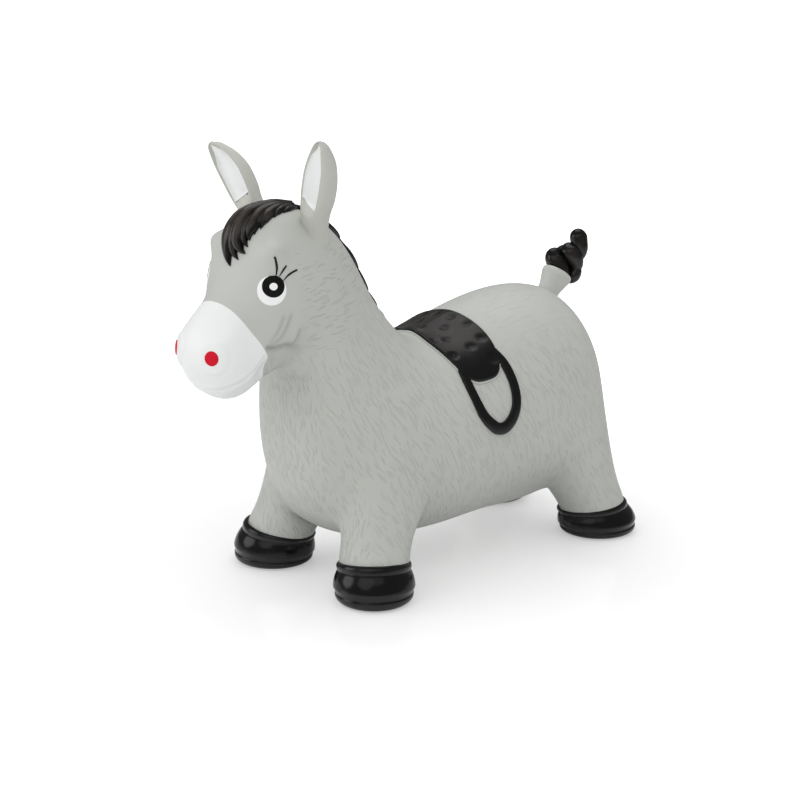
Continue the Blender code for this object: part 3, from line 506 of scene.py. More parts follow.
def skin_paint(name, colour, hairy=True):
    """Soft vinyl with a faint grain and uneven spraying. The attribute hair says where strokes run down the
    flanks, down the chest and back behind the cheek. The attribute marks says where they run back on the
    croup, and where painted shade darkens the colour in the creases."""
    paint = Paint(name, colour, 0.5, Specular_IOR_Level=0.42)
    place = paint.attribute("place")
    drift = paint.vector("SUBTRACT", paint.noise(place, 34.0, 1.0, out=1), (0.5, 0.5, 0.5))
    bent = paint.vector("ADD", place, paint.vector("MULTIPLY", drift, (STROKE_STRAY,) * 3))
    grain, cloudy = paint.noise(place, 900.0), paint.noise(place, 13.0, 3.0)
    croup, crease_shade, _ = paint.parts("marks")
    # painted shade: the colour is darkened along the creases of the jaw and the cheeks
    shade, height = crease_shade * 0.8 + (cloudy - 0.45) * 0.30, grain * 0.10
    if hairy:
        pressed = 0.0
        for kind, mask in zip(STROKES, (*paint.parts("hair"), croup)):
            pressed = strokes(paint, bent, *kind) * mask + pressed
        # the strokes are pressed in by the bump, and also darken the colour: painted shade in their grooves
        shade, height = shade + pressed * 0.21, height - pressed
    paint.coloured(shade, colour, darker(colour, 0.62))
    paint.shaded("Roughness", grain * 0.08 + cloudy * 0.06 + 0.41)
    paint.bumped(height, STROKE_DEPTH)
    return paint.material


def hair_masks(points, normals):
    """Where each kind of hair stroke is pressed in, and where painted shade darkens the creases."""
    x, y, z = (points - at((0, 0, 0))).T
    place = to_left(points)
    side, front, top = np.abs(normals).T[[1, 0, 2]]
    head = step(*HEAD_SUM, x + z) * step(*HEAD_Z, z)
    face = head * step(*FACE_X, x - FACE_LEAN * (z - FACE_LEAN_Z)) * step(*FACE_Z, z)
    crown = head * step(*CROWN_Z, z)
    body = 1 - head
    upper = step(0.50, 0.80, normals[:, 2]) * (1 - step(*BACK_X, x))
    flank = body * step(0.45, 0.75, side) * (1 - 0.75 * upper)
    chest = body * (1 - step(0.45, 0.75, side)) * step(0.40, 0.70, front)
    behind = head * (1 - face) * (1 - crown) * step(0.40, 0.70, side)
    # painted shade in the creases: how much the colour is darkened near the jaw line and the cheek lines
    crease_shade = np.zeros(len(x))
    for line, reach in ((JAW, JAW_PAINTED_SHADE), *((line, CHEEK_PAINTED_SHADE) for line in CHEEKS)):
        gap, along = from_line(place, line)
        fade = 1 - step(0.6, 1.0, along) if line is JAW else 1
        crease_shade = np.maximum(crease_shade, 0.75 * bell(gap, reach) * fade)
    hair = np.stack([0.85 * flank, chest, behind], axis=1)
    return hair, np.stack([0.5 * body * upper * (1 - step(*CROUP_X, x)), crease_shade, 0 * crease_shade], axis=1)


def new_piece(name, points, faces, material, normals, places=None, hair=None, marks=None):
    """A smooth shaded piece at the origin. Its rest place and its masks are kept on its points."""
    mesh = new_mesh(name, points, faces)
    mesh.shade_smooth()
    mesh.normals_split_custom_set_from_vertices(normals)
    for label, values in (("place", points if places is None else places), ("hair", hair), ("marks", marks)):
        if values is not None:
            kept = mesh.attributes.new(label, "FLOAT_VECTOR", "POINT")
            kept.data.foreach_set("vector", np.ascontiguousarray(values, np.float32).ravel())
    mesh.materials.append(material)
    return linked(name, mesh)


def skin_piece(name, inside, material, node):
    """One zone of the skin with its wall: the outside, the same faces moved in by the wall and turned
    round, and a rim along the border. Its normals are the whole skin's, so no seam shows. It takes the
    place of the node."""
    faces = skin_faces[inside]
    used, faces = np.unique(faces, return_inverse=True)
    faces = faces.reshape(-1, 3)
    count = len(used)
    edges = np.vstack([faces[:, [i, (i + 1) % 3]] for i in range(3)])
    single = ~np.isin(edges[:, 0] * count + edges[:, 1], edges[:, 1] * count + edges[:, 0])
    a, b = edges[single].T
    rim = np.vstack([np.stack([b, a, a + count], axis=1), np.stack([b, a + count, b + count], axis=1)])
    faces = np.vstack([faces, faces[:, ::-1] + count, rim])
    outside, ways, places = skin_points[used], skin_normals[used], rest_points[used]
    points = np.vstack([outside, outside - ways * WALL])
    kept = [np.vstack([values, values]) for values in (places, *hair_masks(places, ways))]
    thing = new_piece(name, points, faces, material, np.vstack([ways, -ways]), *kept)
    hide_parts(node)
    return thing


def beyond(zone):
    """The skin's faces on the inner side of a zone's border."""
    return zones[zone][skin_faces].sum(1) > 0


# The body
# The main air chamber, of grey vinyl. The mould casts it in one with the neck and the legs. Its flanks and
# chest carry pressed hair strokes, and its back is almost smooth.

grey_skin = skin_paint("grey_skin", GREY)
legs = {zone: beyond(zone) for zone in ("front_left", "front_right", "rear_left", "rear_right")}
not_leg = ~np.any(list(legs.values()), axis=0)
torso = skin_piece("body", not_leg & ~beyond("low"), grey_skin, "torso_skin")
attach(torso, "torso")


# The neck
# The same grey skin, between the body and the head. It holds nothing but air, so it bends when a rider
# pulls the head by its ears.

neck = skin_piece("neck", not_leg & beyond("low") & ~beyond("high"), grey_skin, "neck_skin")
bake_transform(neck)


# The head
# The same grey skin again, cast with round cheeks and a brow. Its face is smooth, and hair strokes are
# pressed in behind the cheek.

head = skin_piece("head", beyond("high") & ~beyond("muzzle"), grey_skin, "head_skin")
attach(head, "head")


# The muzzle
# The same skin, sprayed white up to a masked line. It has a mouth groove and a faint swelling round each
# nostril.

WHITE = (0.770, 0.785, 0.780)


def sprayed_white(name):
    """White paint sprayed on vinyl: a little uneven, with a very fine grain."""
    paint = Paint(name, WHITE, 0.42)
    place = paint.attribute("place")
    cloudy, grain = paint.noise(place, 22.0, 3.0), paint.noise(place, 900.0)
    paint.coloured((cloudy - 0.42) * 0.8, WHITE, darker(WHITE, 0.86))
    paint.shaded("Roughness", grain * 0.08 + 0.36)
    paint.bumped(grain, 0.00005)
    return paint.material


white_skin = sprayed_white("white_skin")
muzzle = skin_piece("muzzle_skin", beyond("high") & beyond("muzzle"), white_skin, "muzzle")
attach(muzzle, "head")


# The legs
# Four short, splayed air chambers of the same grey skin, which squash when the toy bounces. Each ends
# inside its hoof.

LEG_GIVE = 0.026      # a length along the leg from where its skin starts; the place it gives below is worked out and not used
for zone, inside in legs.items():
    end, side_name = zone.split("_")
    leg = skin_piece(f"{zone}_leg", inside, grey_skin, f"{zone}_leg_skin")
    hip, way = leg_axis(end, dict(HANDS)[side_name])
    tuple(hip + way * LEG_GIVE)
    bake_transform(leg)


# The hooves
# Ends of the same hollow skin, painted glossy black: a soft bead round the rim, a groove under it, a wall
# that bulges, and a bead round the sole. Each takes the end of its leg like a cup.

# the height and radius of the wall, from the sole up over the rim and down inside
HOOF_PROFILE = (
    (0.0000, 0.0300), (0.0015, 0.0355), (0.0045, 0.0390), (0.0080, 0.0400), (0.0100, 0.0394),
    (0.0125, 0.0402), (0.0160, 0.0416), (0.0235, 0.0405), (0.0292, 0.0382), (0.0309, 0.0371),
    (0.0327, 0.0377), (0.0350, 0.0381), (0.0370, 0.0375), (0.0383, 0.0361), (0.0380, 0.0348),
    (0.0330, 0.0330), (0.0240, 0.0325), (0.0160, 0.0310), (0.0130, 0.0200),
)
# where each hoof stands, the share of the profile's height, and the tilt of its rim
HOOVES = {"front": ((0.1615, 0.0785), 1.0, 0.19), "rear": ((-0.1600, 0.0808), 0.82, 0.145)}
HOOF_RIM, HOOF_LEAN, HOOF_OUT, HOOF_LONG_SHARE = 0.0385, 0.0083, 0.0035, 0.05
# paler bands of colour on the rim bead and the sole bead: painted highlights
HOOF_HIGHLIGHTS = ((0.50, 0.0352, 0.0016), (0.35, 0.006, 0.003))      # how much, how high up and how widely


def hoop(count):
    """Cosines and sines of the turns to count spots round a ring."""
    turn = 2 * np.pi * np.arange(count) / count
    return np.cos(turn), np.sin(turn)


def closed(rings, painted_light=0.0, ends=True, ways=None):
    """A closed body through rings of spots. Both ends close on the middle of their ring, or with ends off
    the last ring joins the first. Normals are the cross products of the ways round and along."""
    rows, count = rings.shape[:2]
    if ways is None:
        along = np.gradient(rings, axis=0) if ends else np.roll(rings, -1, 0) - np.roll(rings, 1, 0)
        ways = unit(np.cross(np.roll(rings, -1, 1) - np.roll(rings, 1, 1), along))
    number = np.arange(rows * count).reshape(rows, count)
    low, high = (number[:-1], number[1:]) if ends else (number, np.roll(number, -1, 0))
    low_next, high_next = np.roll(low, -1, 1), np.roll(high, -1, 1)
    faces = [np.stack([low, low_next, high_next], axis=-1), np.stack([low, high_next, high], axis=-1)]
    points, normals = rings.reshape(-1, 3), ways.reshape(-1, 3)
    marks = np.broadcast_to(painted_light, (rows, count)).ravel()
    if ends:
        first, last = number[0], number[-1]
        faces.append(np.stack([np.full(count, len(points)), np.roll(first, -1), first], axis=-1))
        faces.append(np.stack([np.full(count, len(points) + 1), last, np.roll(last, -1)], axis=-1))
        tips = [(rings[0].mean(0), normals[first].mean(0), rings[0] - rings[1]),
                (rings[-1].mean(0), normals[last].mean(0), rings[-1] - rings[-2])]
        points = np.vstack([points] + [spot for spot, _, _ in tips])
        marks = np.append(marks, (marks[0], marks[-1]))
    faces = np.vstack([part.reshape(-1, 3) for part in faces])
    a, b, c = points[faces[:, 0]], points[faces[:, 1]], points[faces[:, 2]]
    side = np.sign((a * np.cross(b, c)).sum())
    if side < 0:
        faces = faces[:, ::-1]
    normals = normals * side
    if ends:
        for _, mean, out in tips:
            lean = 0.2 * out.mean(0) / np.linalg.norm(out, axis=1).max()
            normals = np.vstack([normals, unit(mean * side + lean)])
    return points, faces, normals, marks


def formed(name, bodies, material, node):
    """One piece of closed bodies, which takes the place of the named node."""
    starts = np.cumsum([0] + [len(body[0]) for body in bodies[:-1]])
    points, normals = (np.vstack([body[i] for body in bodies]) for i in (0, 2))
    faces = np.vstack([body[1] + start for body, start in zip(bodies, starts)])
    marks = np.concatenate([body[3] for body in bodies])
    marks = np.stack([marks, 0 * marks, 0 * marks], axis=1)
    thing = new_piece(name, points, faces, material, normals, marks=marks)
    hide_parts(node)
    return thing


def black_paint(name, colour, sheen_colour, gloss):
    """Glossy black paint sprayed on vinyl: orange peel, uneven gloss, and paler colour where the piece marks
    its high spots: a painted sheen and painted highlights."""
    paint = Paint(name, colour, gloss, Specular_IOR_Level=0.42)
    place, (painted_light, _, _) = paint.attribute("place"), paint.parts("marks")
    cloudy, peel, dust = paint.noise(place, 45.0, 3.0), paint.noise(place, 520.0), paint.noise(place, 1500.0)
    paint.coloured(painted_light * (cloudy + 0.35) + (cloudy - 0.62) * 0.5, colour, sheen_colour)
    paint.shaded("Roughness", cloudy * 0.16 + painted_light * 0.10 + dust * 0.06 + (gloss - 0.10))
    paint.bumped(peel + dust * 0.3, 0.00006)
    return paint.material


hoof_black = black_paint("hoof_black", (0.0050, 0.0050, 0.0050), (0.020, 0.019, 0.018), 0.15)
for end, (middle, share, tilt) in HOOVES.items():
    for side_name, side in HANDS:
        foot = f"{end}_{side_name}"
        cos, sin = hoop(112)
        height, radius = curve(HOOF_PROFILE, 110).T
        high = (height / HOOF_RIM)[:, None]
        outward = unit(mirrored((HIPS[end][1][0], HIPS[end][1][1], 0), side))
        spots = radius[:, None, None] * np.stack([cos, sin, 0 * cos], axis=-1)
        out = spots @ outward
        spots += (out * HOOF_LONG_SHARE * (1 - high) + HOOF_OUT - HOOF_LEAN * high ** 2)[..., None] * outward
        spots[..., 2] += share * height[:, None] + tilt * high * out
        rings = at((middle[0], side * middle[1], FLOOR_Z)) + spots
        # painted highlights along the rim bead and the sole bead
        painted_light = sum(much * bell(height - z, reach) for much, z, reach in HOOF_HIGHLIGHTS)
        wall = closed(rings, painted_light[:, None])
        hoof = formed(f"{foot}_hoof_cup", [wall], hoof_black, f"{foot}_hoof")
        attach(hoof, f"{foot}_foot")


# The saddle
# A raised pad of the same skin, painted black, with a field of dimples pressed into it and a bead of bare
# grey vinyl round its edge. It lies across the back and ends in a round lobe on each side.

SADDLE_MIDDLE, SADDLE_HALF, SADDLE_SWEEP = 0.0138, 0.0322, np.radians(59.5)
SADDLE_AXIS_Z, SADDLE_REACH, SADDLE_POWER = 0.165, 0.103, 3.2
SADDLE_RISE, SADDLE_RIM, SADDLE_SINK, SADDLE_WAIST_SHARE = 0.0034, 0.0034, 0.0014, 0.15
SADDLE_WAIST_TURN = 0.25
DIMPLE_RADIUS, DIMPLE_DEPTH = 0.0086, 0.0014
# painted sheen on top, from how far in from the rim and down to which turns, and a painted highlight
# under each dimple
SHEEN_RIM, SHEEN_TURNS, DIMPLE_HIGHLIGHT = (0.002, 0.008), (0.45, 0.80), (0.0010, 0.0050)
# where each dimple lies: x, and degrees down the side from the top
DIMPLES = ((-0.007, 6.0), (-0.010, 18.5), (-0.008, 32.5), (-0.0045, 48.0), (0.010, 11.5), (0.009, 35.5),
           (0.0250, 0.0), (0.023, 23.0), (0.0375, 6.5), (0.0375, 20.5), (0.035, 38.0))


def ringed(middle, across, up, wide, tall):
    """Rings round a line. Each spot lies wide across the line's place and tall up from it."""
    return middle[:, None] + across[:, None] * wide[..., None] + up[:, None] * tall[..., None]


def laid(places):
    """The nearest spots of the skin to a coarse grid of places, and the skin's smooth normals there."""
    places = np.asarray(places, float)
    found = [skin_tree.find_nearest(spot) for spot in places.reshape(-1, 3)]
    spots = np.array([spot for spot, _, _, _ in found])
    ways = skin_normals[skin_quads[[face for _, _, face, _ in found]]].mean(1)
    return spots.reshape(places.shape), unit(ways).reshape(places.shape)


def finer(rings, rows, share):
    """A smooth grid through a coarse one of closed rings: at the given rows, with share times the spots."""
    rings = np.swapaxes(curve(rings, rows), 0, 1)
    count = len(rings)
    around = np.concatenate([rings[-1:], rings, rings[:2]])
    return np.swapaxes(curve(around, (count + 2) * share + 1)[share:(count + 1) * share], 0, 1)


def patch(grid, count, crowding, share):
    """A fine smooth grid on the skin from a coarse one: count rings, crowded towards the last, each with
    share times the spots. Also the skin's normals there, and how far each spot is from the last ring."""
    spots, ways = laid(grid)
    rows = (len(grid) - 1) * (1 - (1 - np.linspace(0, 1, count)) ** crowding)
    spots, ways = finer(spots, rows, share), unit(finer(ways, rows, share))
    return spots, ways, np.linalg.norm(spots - spots[-1], axis=-1)


def arch(share):
    """A quarter circle: 0 at 0 with a steep start, 1 from 1 on."""
    return np.sqrt(1 - (1 - np.clip(share, 0, 1)) ** 2)


skin_tree = BVHTree.FromPolygons(skin_points.tolist(), skin_quads.tolist())
cos, sin = hoop(64)
reach = (np.abs(cos) ** SADDLE_POWER + np.abs(sin) ** SADDLE_POWER) ** (-1 / SADDLE_POWER)
share = np.linspace(0, 1.0, 15)[:, None]
share[0] = 0.02
sweep = SADDLE_SWEEP * share * reach * sin
waist = 1 - SADDLE_WAIST_SHARE * bell(sweep, SADDLE_WAIST_TURN) * (cos > 0)
grid = at(np.stack([SADDLE_MIDDLE + SADDLE_HALF * share * reach * cos * waist,
                    SADDLE_REACH * np.sin(sweep), SADDLE_AXIS_Z + SADDLE_REACH * np.cos(sweep)], axis=-1))
spots, ways, rim = patch(grid, 120, 1.5, 8)
rise = SADDLE_RISE * arch(rim / SADDLE_RIM)
measured = spots - at((0, 0, 0))
turn = np.arctan2(measured[..., 1], measured[..., 2] - SADDLE_AXIS_Z)
# painted light on the saddle: a paler painted sheen on top, painted shade inside each dimple and a painted
# highlight on its lower rim
painted_light = 0.55 * (1 - step(*SHEEN_TURNS, np.abs(turn))) * step(*SHEEN_RIM, rim)
for x, degrees in DIMPLES:
    for side in (1, -1) if degrees else (1,):
        down = (turn * side - np.radians(degrees)) * SADDLE_REACH
        far = np.hypot(measured[..., 0] - x, down) / DIMPLE_RADIUS
        rise -= DIMPLE_DEPTH * (1 - step(0.0, 1.0, far))
        painted_light -= 0.45 * (1 - step(0.2, 1.0, far))
        painted_light += 0.55 * bell(far - 0.72, 0.14) * step(*DIMPLE_HIGHLIGHT, down)
painted_light = np.clip(painted_light, 0, 1)
top = spots + ways * rise[..., None]
under = (spots - ways * SADDLE_SINK)[::-10]
pad = closed(np.concatenate([top, under]), np.concatenate([painted_light, painted_light[::-10]]))
saddle_black = black_paint("saddle_black", (0.0050, 0.0047, 0.0045), (0.052, 0.043, 0.039), 0.33)
saddle = formed("saddle_pad", [pad], saddle_black, "saddle")
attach(saddle, "torso")

BEAD = 0.0013
edge, up = spots[-1], ways[-1]
out = unit(edge - spots[-6])
cos, sin = hoop(14)
rings = ringed(edge + out * 0.6 * BEAD + up * 0.2 * BEAD, out, up, BEAD * cos[None], BEAD * sin[None])
points, faces, normals, _ = closed(rings, ends=False)
bead = new_piece("saddle_bead", points, faces, grey_skin, normals)
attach(bead, "torso")


# The stirrup loops
# Two flat straps of the same vinyl, moulded on the flanks and painted black. Each hangs in a loop from
# the saddle's lobe.

LOOP = (
    (0.0325, 0.058, 0.2430), (0.0352, 0.070, 0.2300), (0.0363, 0.080, 0.2150), (0.0345, 0.091, 0.1990),
    (0.0297, 0.099, 0.1830), (0.0188, 0.103, 0.1708), (0.0112, 0.104, 0.1678), (0.0030, 0.104, 0.1690),
    (-0.0055, 0.104, 0.1752), (-0.0122, 0.102, 0.1845), (-0.0156, 0.099, 0.1950), (-0.0168, 0.094, 0.2065),
    (-0.0162, 0.088, 0.2185), (-0.0145, 0.080, 0.2295), (-0.0105, 0.070, 0.2400),
)
LOOP_HALF = np.array((4.6, 4.7, 4.8, 4.9, 5.6, 6.2, 6.3, 6.2, 5.9, 5.5, 5.3, 5.2, 5.1, 5.0, 4.8)) / 1000
LOOP_RISE = 0.0034


def strand(knots, half, height, count=48, sides=28, ridges=0, sink=0.002, lift=0.0, tip=0.0, root=1.0,
           power=0.8, point=2.0):
    """A band along a smooth path on the skin. Its rings are as wide as half times the cosine of the turn
    and as high as height times a power of the sine, with ridges as ripples across. It starts at the share
    root of its full size. Over its last share tip it is drawn in nearly to nothing: its size is 1 less
    how far along the tip it is, to the power point."""
    spots, ways = laid(at(knots))
    path, up = curve(spots + ways * np.reshape(lift, (-1, 1)), count), unit(curve(ways, count))
    across = unit(np.cross(up, np.gradient(path, axis=0)))
    place = np.linspace(0, 1, count)
    halves = np.ravel(half)
    half = halves.max()
    slim = np.interp(place, np.linspace(0, 1, len(halves)), halves) / half
    slim = slim * (root + (1 - root) * step(0, 0.35, place))
    if tip:
        slim = slim * (0.02 + 0.98 * (1 - np.clip((place - 1 + tip) / tip, 0, 1) ** point))
    cos, sin = hoop(sides)
    ripple = 1 + 0.06 * np.cos(ridges * np.pi * cos) * (ridges > 0)
    tall = np.where(sin > 0, height * np.abs(sin) ** power * ripple, sink * sin) * np.sqrt(slim)[:, None]
    rings = ringed(path, across, up, half * slim[:, None] * cos, tall)
    # painted sheen: the colour is paler on the crests of the ridges, most midway along
    crests = np.clip(sin, 0, 1) ** 3 * (0.5 + 0.5 * np.cos(ridges * np.pi * cos))
    painted_light = crests * np.sin(np.pi * place ** 0.65)[:, None]
    return closed(rings, painted_light if ridges else 0 * painted_light)


strap_black = black_paint("strap_black", (0.0055, 0.0052, 0.0050), (0.022, 0.020, 0.018), 0.30)
for side_name, side in HANDS:
    band = strand(mirrored(LOOP, side), LOOP_HALF, LOOP_RISE, 150, 36, power=0.35)
    loop = formed(f"{side_name}_loop", [band], strap_black, f"{side_name}_stirrup_loop")
    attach(loop, "torso")


# The eyes
# Printed on the skin in three layers, each a little smaller: white, near black and a highlight. Three
# lashes are printed over each. The places, facings and radii are those of the left eye.

EYE, EYE_FACING, EYE_RADIUS = (0.2617, 0.0467, 0.3412), (0.56, 0.80, 0.20), 0.0141
IRIS_SHIFT, IRIS_RADIUS, SPARK_RADIUS = (-0.0016, 0.0006, 0.0040), 0.0105, 0.0036
# the half width of each lash and its path
LASHES = (
    (0.0012, ((0.2580, 0.0475, 0.3515), (0.2560, 0.0470, 0.3600), (0.2554, 0.0449, 0.3668),
              (0.2555, 0.0414, 0.3742))),
    (0.0010, ((0.2550, 0.0485, 0.3535), (0.2505, 0.0495, 0.3600), (0.2470, 0.0495, 0.3640))),
    (0.0010, ((0.2530, 0.0505, 0.3485), (0.2475, 0.0520, 0.3540), (0.2425, 0.0528, 0.3568),
              (0.2365, 0.0535, 0.3588))),
)
LASH_HEIGHT, LASH_SINK = 0.0007, 0.0004
# how high the printed layers lie on the skin, at the edge and inside
FIRST_LAYER, SECOND_LAYER, THIRD_LAYER = (-0.0003, 0.0006), (0.0004, 0.0011), (0.0009, 0.0016)
LAYER_EDGE, LAYER_SINK, LAYER_CROWN_SHARE = 0.0012, 0.0008, 0.15


def spot_on_skin(middle, facing, radius, low, high):
    """A round layer of paint laid on the skin, from low up to high above it, with a soft edge."""
    across = unit(np.cross(facing, (0, 0, 1)))
    up = np.cross(across, unit(np.array(facing)))
    cos, sin = hoop(24)
    share = np.linspace(0.04, 1, 7)[:, None, None]
    grid = at(middle) + radius * share * (cos[:, None] * across + sin[:, None] * up)
    spots, ways, rim = patch(grid, 26, 1.6, 3)
    rise = low + (high - low) * arch(rim / LAYER_EDGE) + LAYER_CROWN_SHARE * (high - low) * arch(rim / radius)
    top = spots + ways * rise[..., None]
    under = (spots - ways * LAYER_SINK)[::-6]
    return closed(np.concatenate([top, under]))


def enamel(name, colour, shade, gloss):
    """Thick printed paint: nearly even, with faint clouds, a fine grain and a soft gloss."""
    paint = Paint(name, colour, gloss, Specular_IOR_Level=0.16)
    place = paint.attribute("place")
    cloudy, grain = paint.noise(place, 260.0, 3.0), paint.noise(place, 1400.0)
    paint.coloured((cloudy - 0.35) * 1.1, colour, shade)
    paint.shaded("Roughness", grain * 0.10 + cloudy * 0.08 + (gloss - 0.08))
    paint.bumped(grain, 0.00004)
    return paint.material


eye_white = enamel("eye_white", (0.835, 0.845, 0.835), (0.77, 0.78, 0.765), 0.34)
eye_dark = enamel("eye_dark", (0.0060, 0.0060, 0.0065), (0.012, 0.012, 0.012), 0.28)
lash_black = enamel("lash_black", (0.011, 0.010, 0.010), (0.022, 0.020, 0.019), 0.42)
for side_name, side in HANDS:
    middle, facing = mirrored(EYE, side), mirrored(EYE_FACING, side)
    iris = middle + mirrored(IRIS_SHIFT, side)
    layers = (
        ("eye_white", "white", eye_white, "white_skin", (middle, facing, EYE_RADIUS, *FIRST_LAYER)),
        ("iris", "pupil", eye_dark, "eye_black", (iris, facing, IRIS_RADIUS, *SECOND_LAYER)),
        ("eye_spark", "glint", eye_white, "white_skin", (iris, facing, SPARK_RADIUS, *THIRD_LAYER)),
    )
    for node, label, material, slot, spot in layers:
        layer = formed(f"{side_name}_{label}", [spot_on_skin(*spot)], material, f"{side_name}_{node}")
        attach(layer, "head")
    hairs = []
    for half, knots in LASHES:
        path = curve(mirrored(knots, side)[::-1], 14)
        hairs.append(strand(path, half, LASH_HEIGHT, 40, 12, sink=LASH_SINK, tip=0.6, root=0.9))
    lashes = formed(f"{side_name}_lash_lines", hairs, lash_black, f"{side_name}_lashes")
    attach(lashes, "head")


# The nostrils
# Two round spots of thick red paint, printed on the skin where the muzzle swells. The right one sits a
# little further back.

NOSTRIL_FACING, NOSTRIL_RADIUS = (0.87, 0.48, 0.11), 0.0071
RIGHT_NOSTRIL = (0.3170, -0.0288, 0.2808)
nostril_red = enamel("nostril_red", (0.600, 0.0045, 0.022), (0.470, 0.003, 0.018), 0.42)
for side_name, side, middle in (("left", 1, NOSTRIL), ("right", -1, RIGHT_NOSTRIL)):
    dot = spot_on_skin(middle, mirrored(NOSTRIL_FACING, side), NOSTRIL_RADIUS, *FIRST_LAYER)
    dot = formed(f"{side_name}_dot", [dot], nostril_red, f"{side_name}_nostril")
    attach(dot, "head")


# The forelock
# Locks of hair, moulded in the same vinyl and painted glossy black. They sweep from between the ears
# forward and down over the brow.

# six guides across the forelock: a path, and the half width and height of the lock there
FORELOCK = (
    (((0.200, -0.0020, 0.412), (0.228, -0.0040, 0.4115), (0.248, -0.0060, 0.4035), (0.2600, -0.0065, 0.3960),
      (0.2675, -0.0065, 0.3870), (0.2720, -0.0055, 0.3770), (0.2750, -0.0015, 0.3670),
      (0.2768, 0.0030, 0.3600)), 0.0108, 0.0066),
    (((0.200, 0.0010, 0.412), (0.228, 0.0025, 0.4115), (0.2527, 0.0039, 0.4050), (0.2641, 0.0058, 0.3951),
      (0.2694, 0.0076, 0.3854), (0.2714, 0.0131, 0.3777), (0.2712, 0.0200, 0.3740)), 0.0088, 0.0084),
    (((0.200, 0.0040, 0.411), (0.224, 0.0070, 0.4105), (0.2439, 0.0098, 0.4076), (0.2572, 0.0148, 0.3995),
      (0.2636, 0.0174, 0.3919), (0.2662, 0.0205, 0.3858)), 0.0076, 0.0068),
    (((0.2020, 0.0050, 0.4105), (0.2198, 0.0085, 0.4100), (0.2359, 0.0130, 0.4081),
      (0.2478, 0.0192, 0.4027), (0.2560, 0.0240, 0.3960)), 0.0066, 0.0054),
    (((0.2000, 0.0050, 0.410), (0.2094, 0.0080, 0.410), (0.2263, 0.0145, 0.4081), (0.2380, 0.0218, 0.4040)),
     0.0054, 0.0044),
    (((0.1960, 0.0050, 0.410), (0.2124, 0.0120, 0.4079), (0.2240, 0.0192, 0.4062)), 0.0044, 0.0034),
)
LOCKS, SLIM_LOCK_SHARE = 11, 0.78
hair_black = black_paint("hair_black", (0.0050, 0.0044, 0.0042), (0.055, 0.044, 0.039), 0.18)
guides = curve([curve(knots, 8) for knots, _, _ in FORELOCK], LOCKS)
sizes = curve([(half, height) for _, half, height in FORELOCK], LOCKS)
sizes[1::2] *= SLIM_LOCK_SHARE
locks = [strand(guide, half, height, 70, 44, ridges=1, tip=0.42, root=0.6, point=1.2)
         for guide, (half, height) in zip(guides, sizes)]
forelock = formed("forelock_hair", locks, hair_black, "forelock")
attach(forelock, "head")


# The mane
# A crest of short moulded tufts, painted black, that lie over each other down the nape. Its upper tufts
# are on the head and the others bend with the neck.

CREST = (
    (0.200, 0.0, 0.413), (0.180, 0.0, 0.406), (0.162, 0.0, 0.393), (0.147, 0.0, 0.377), (0.135, 0.0, 0.360),
    (0.126, 0.0, 0.342), (0.117, 0.0, 0.323), (0.107, 0.0, 0.307), (0.098, 0.0, 0.293), (0.089, 0.0, 0.281),
    (0.080, 0.0, 0.2735), (0.071, 0.0, 0.2675),
)
CREST_HALF, CREST_HEIGHT = 0.0062, 0.0032
TUFT_HALF, TUFT_HEIGHT, TUFT_SINK = 0.0060, 0.0036, 0.006
TUFT_SWAY, TUFT_STRAY, TUFT_LIFT, TUFT_TIP_LIFT = 0.0032, 0.0012, 0.0004, 0.0024
line = curve(CREST, 111)


def tufts(first, last, count):
    """Short locks along the crest, each a little aside of the last, that rise off it towards their tips."""
    found = []
    for number, start in enumerate(np.linspace(first, last, count)):
        path = line[int(start):int(start) + 19:3].copy()
        share = np.linspace(0, 1, len(path))
        sway = TUFT_SWAY * (1 if number % 2 else -1)
        path[:, 1] += sway * (0.3 + 1.3 * share) + TUFT_STRAY * np.sin(2.4 * number)
        lift = TUFT_LIFT + TUFT_TIP_LIFT * share ** 1.3
        found.append(strand(path, TUFT_HALF, TUFT_HEIGHT, 36, 32, 3, TUFT_SINK, lift, tip=0.6, root=0.7))
    return found


def crest(first, last):
    return strand(line[first:last:6], CREST_HALF, CREST_HEIGHT, 60, 32, 3, tip=0.3, root=0.6)


poll = formed("poll_hair", [crest(0, 40)] + tufts(0, 22, 5), hair_black, "poll_mane")
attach(poll, "head")
nape = formed("nape_hair", [crest(30, 106)] + tufts(30, 88, 9), hair_black, "neck_mane")
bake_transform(nape)


# The ears
# Two hollow cups of the same skin, which a rider holds. Each stands on a root that bends, is open to the
# front and has a white panel painted in its hollow. The right one came out shorter and leans out more.

# up an ear's middle line: x, y, z, half width, and depth to the front and to the back
EAR = (
    (0.1985, 0.0225, 0.3600, 0.0280, 0.0240, 0.0250), (0.1995, 0.0262, 0.3695, 0.0222, 0.0185, 0.0205),
    (0.2005, 0.0320, 0.3810, 0.0174, 0.0138, 0.0165), (0.2028, 0.0380, 0.3930, 0.0150, 0.0113, 0.0146),
    (0.2066, 0.0436, 0.4050, 0.0156, 0.0111, 0.0154), (0.2092, 0.0480, 0.4156, 0.0175, 0.0115, 0.0168),
    (0.2108, 0.0530, 0.4280, 0.0197, 0.0118, 0.0180), (0.2135, 0.0600, 0.4450, 0.0203, 0.0112, 0.0174),
    (0.2175, 0.0680, 0.4600, 0.0176, 0.0095, 0.0147), (0.2225, 0.0745, 0.4720, 0.0122, 0.0068, 0.0104),
    (0.2260, 0.0785, 0.4790, 0.0072, 0.0042, 0.0062), (0.2275, 0.0802, 0.4828, 0.0022, 0.0014, 0.0020),
)
EAR_SEAM_SHARE = 0.4545        # how far up the table the root ends and the blade begins
EAR_FACING, EAR_CUP = (0.96, -0.10, 0.10), 0.0060
EAR_FOOT_Z, EAR_STEPS, EAR_HINGE_SHARE, EAR_OPEN_SHARES = 0.385, 160, 0.26, (0.40, 0.52)
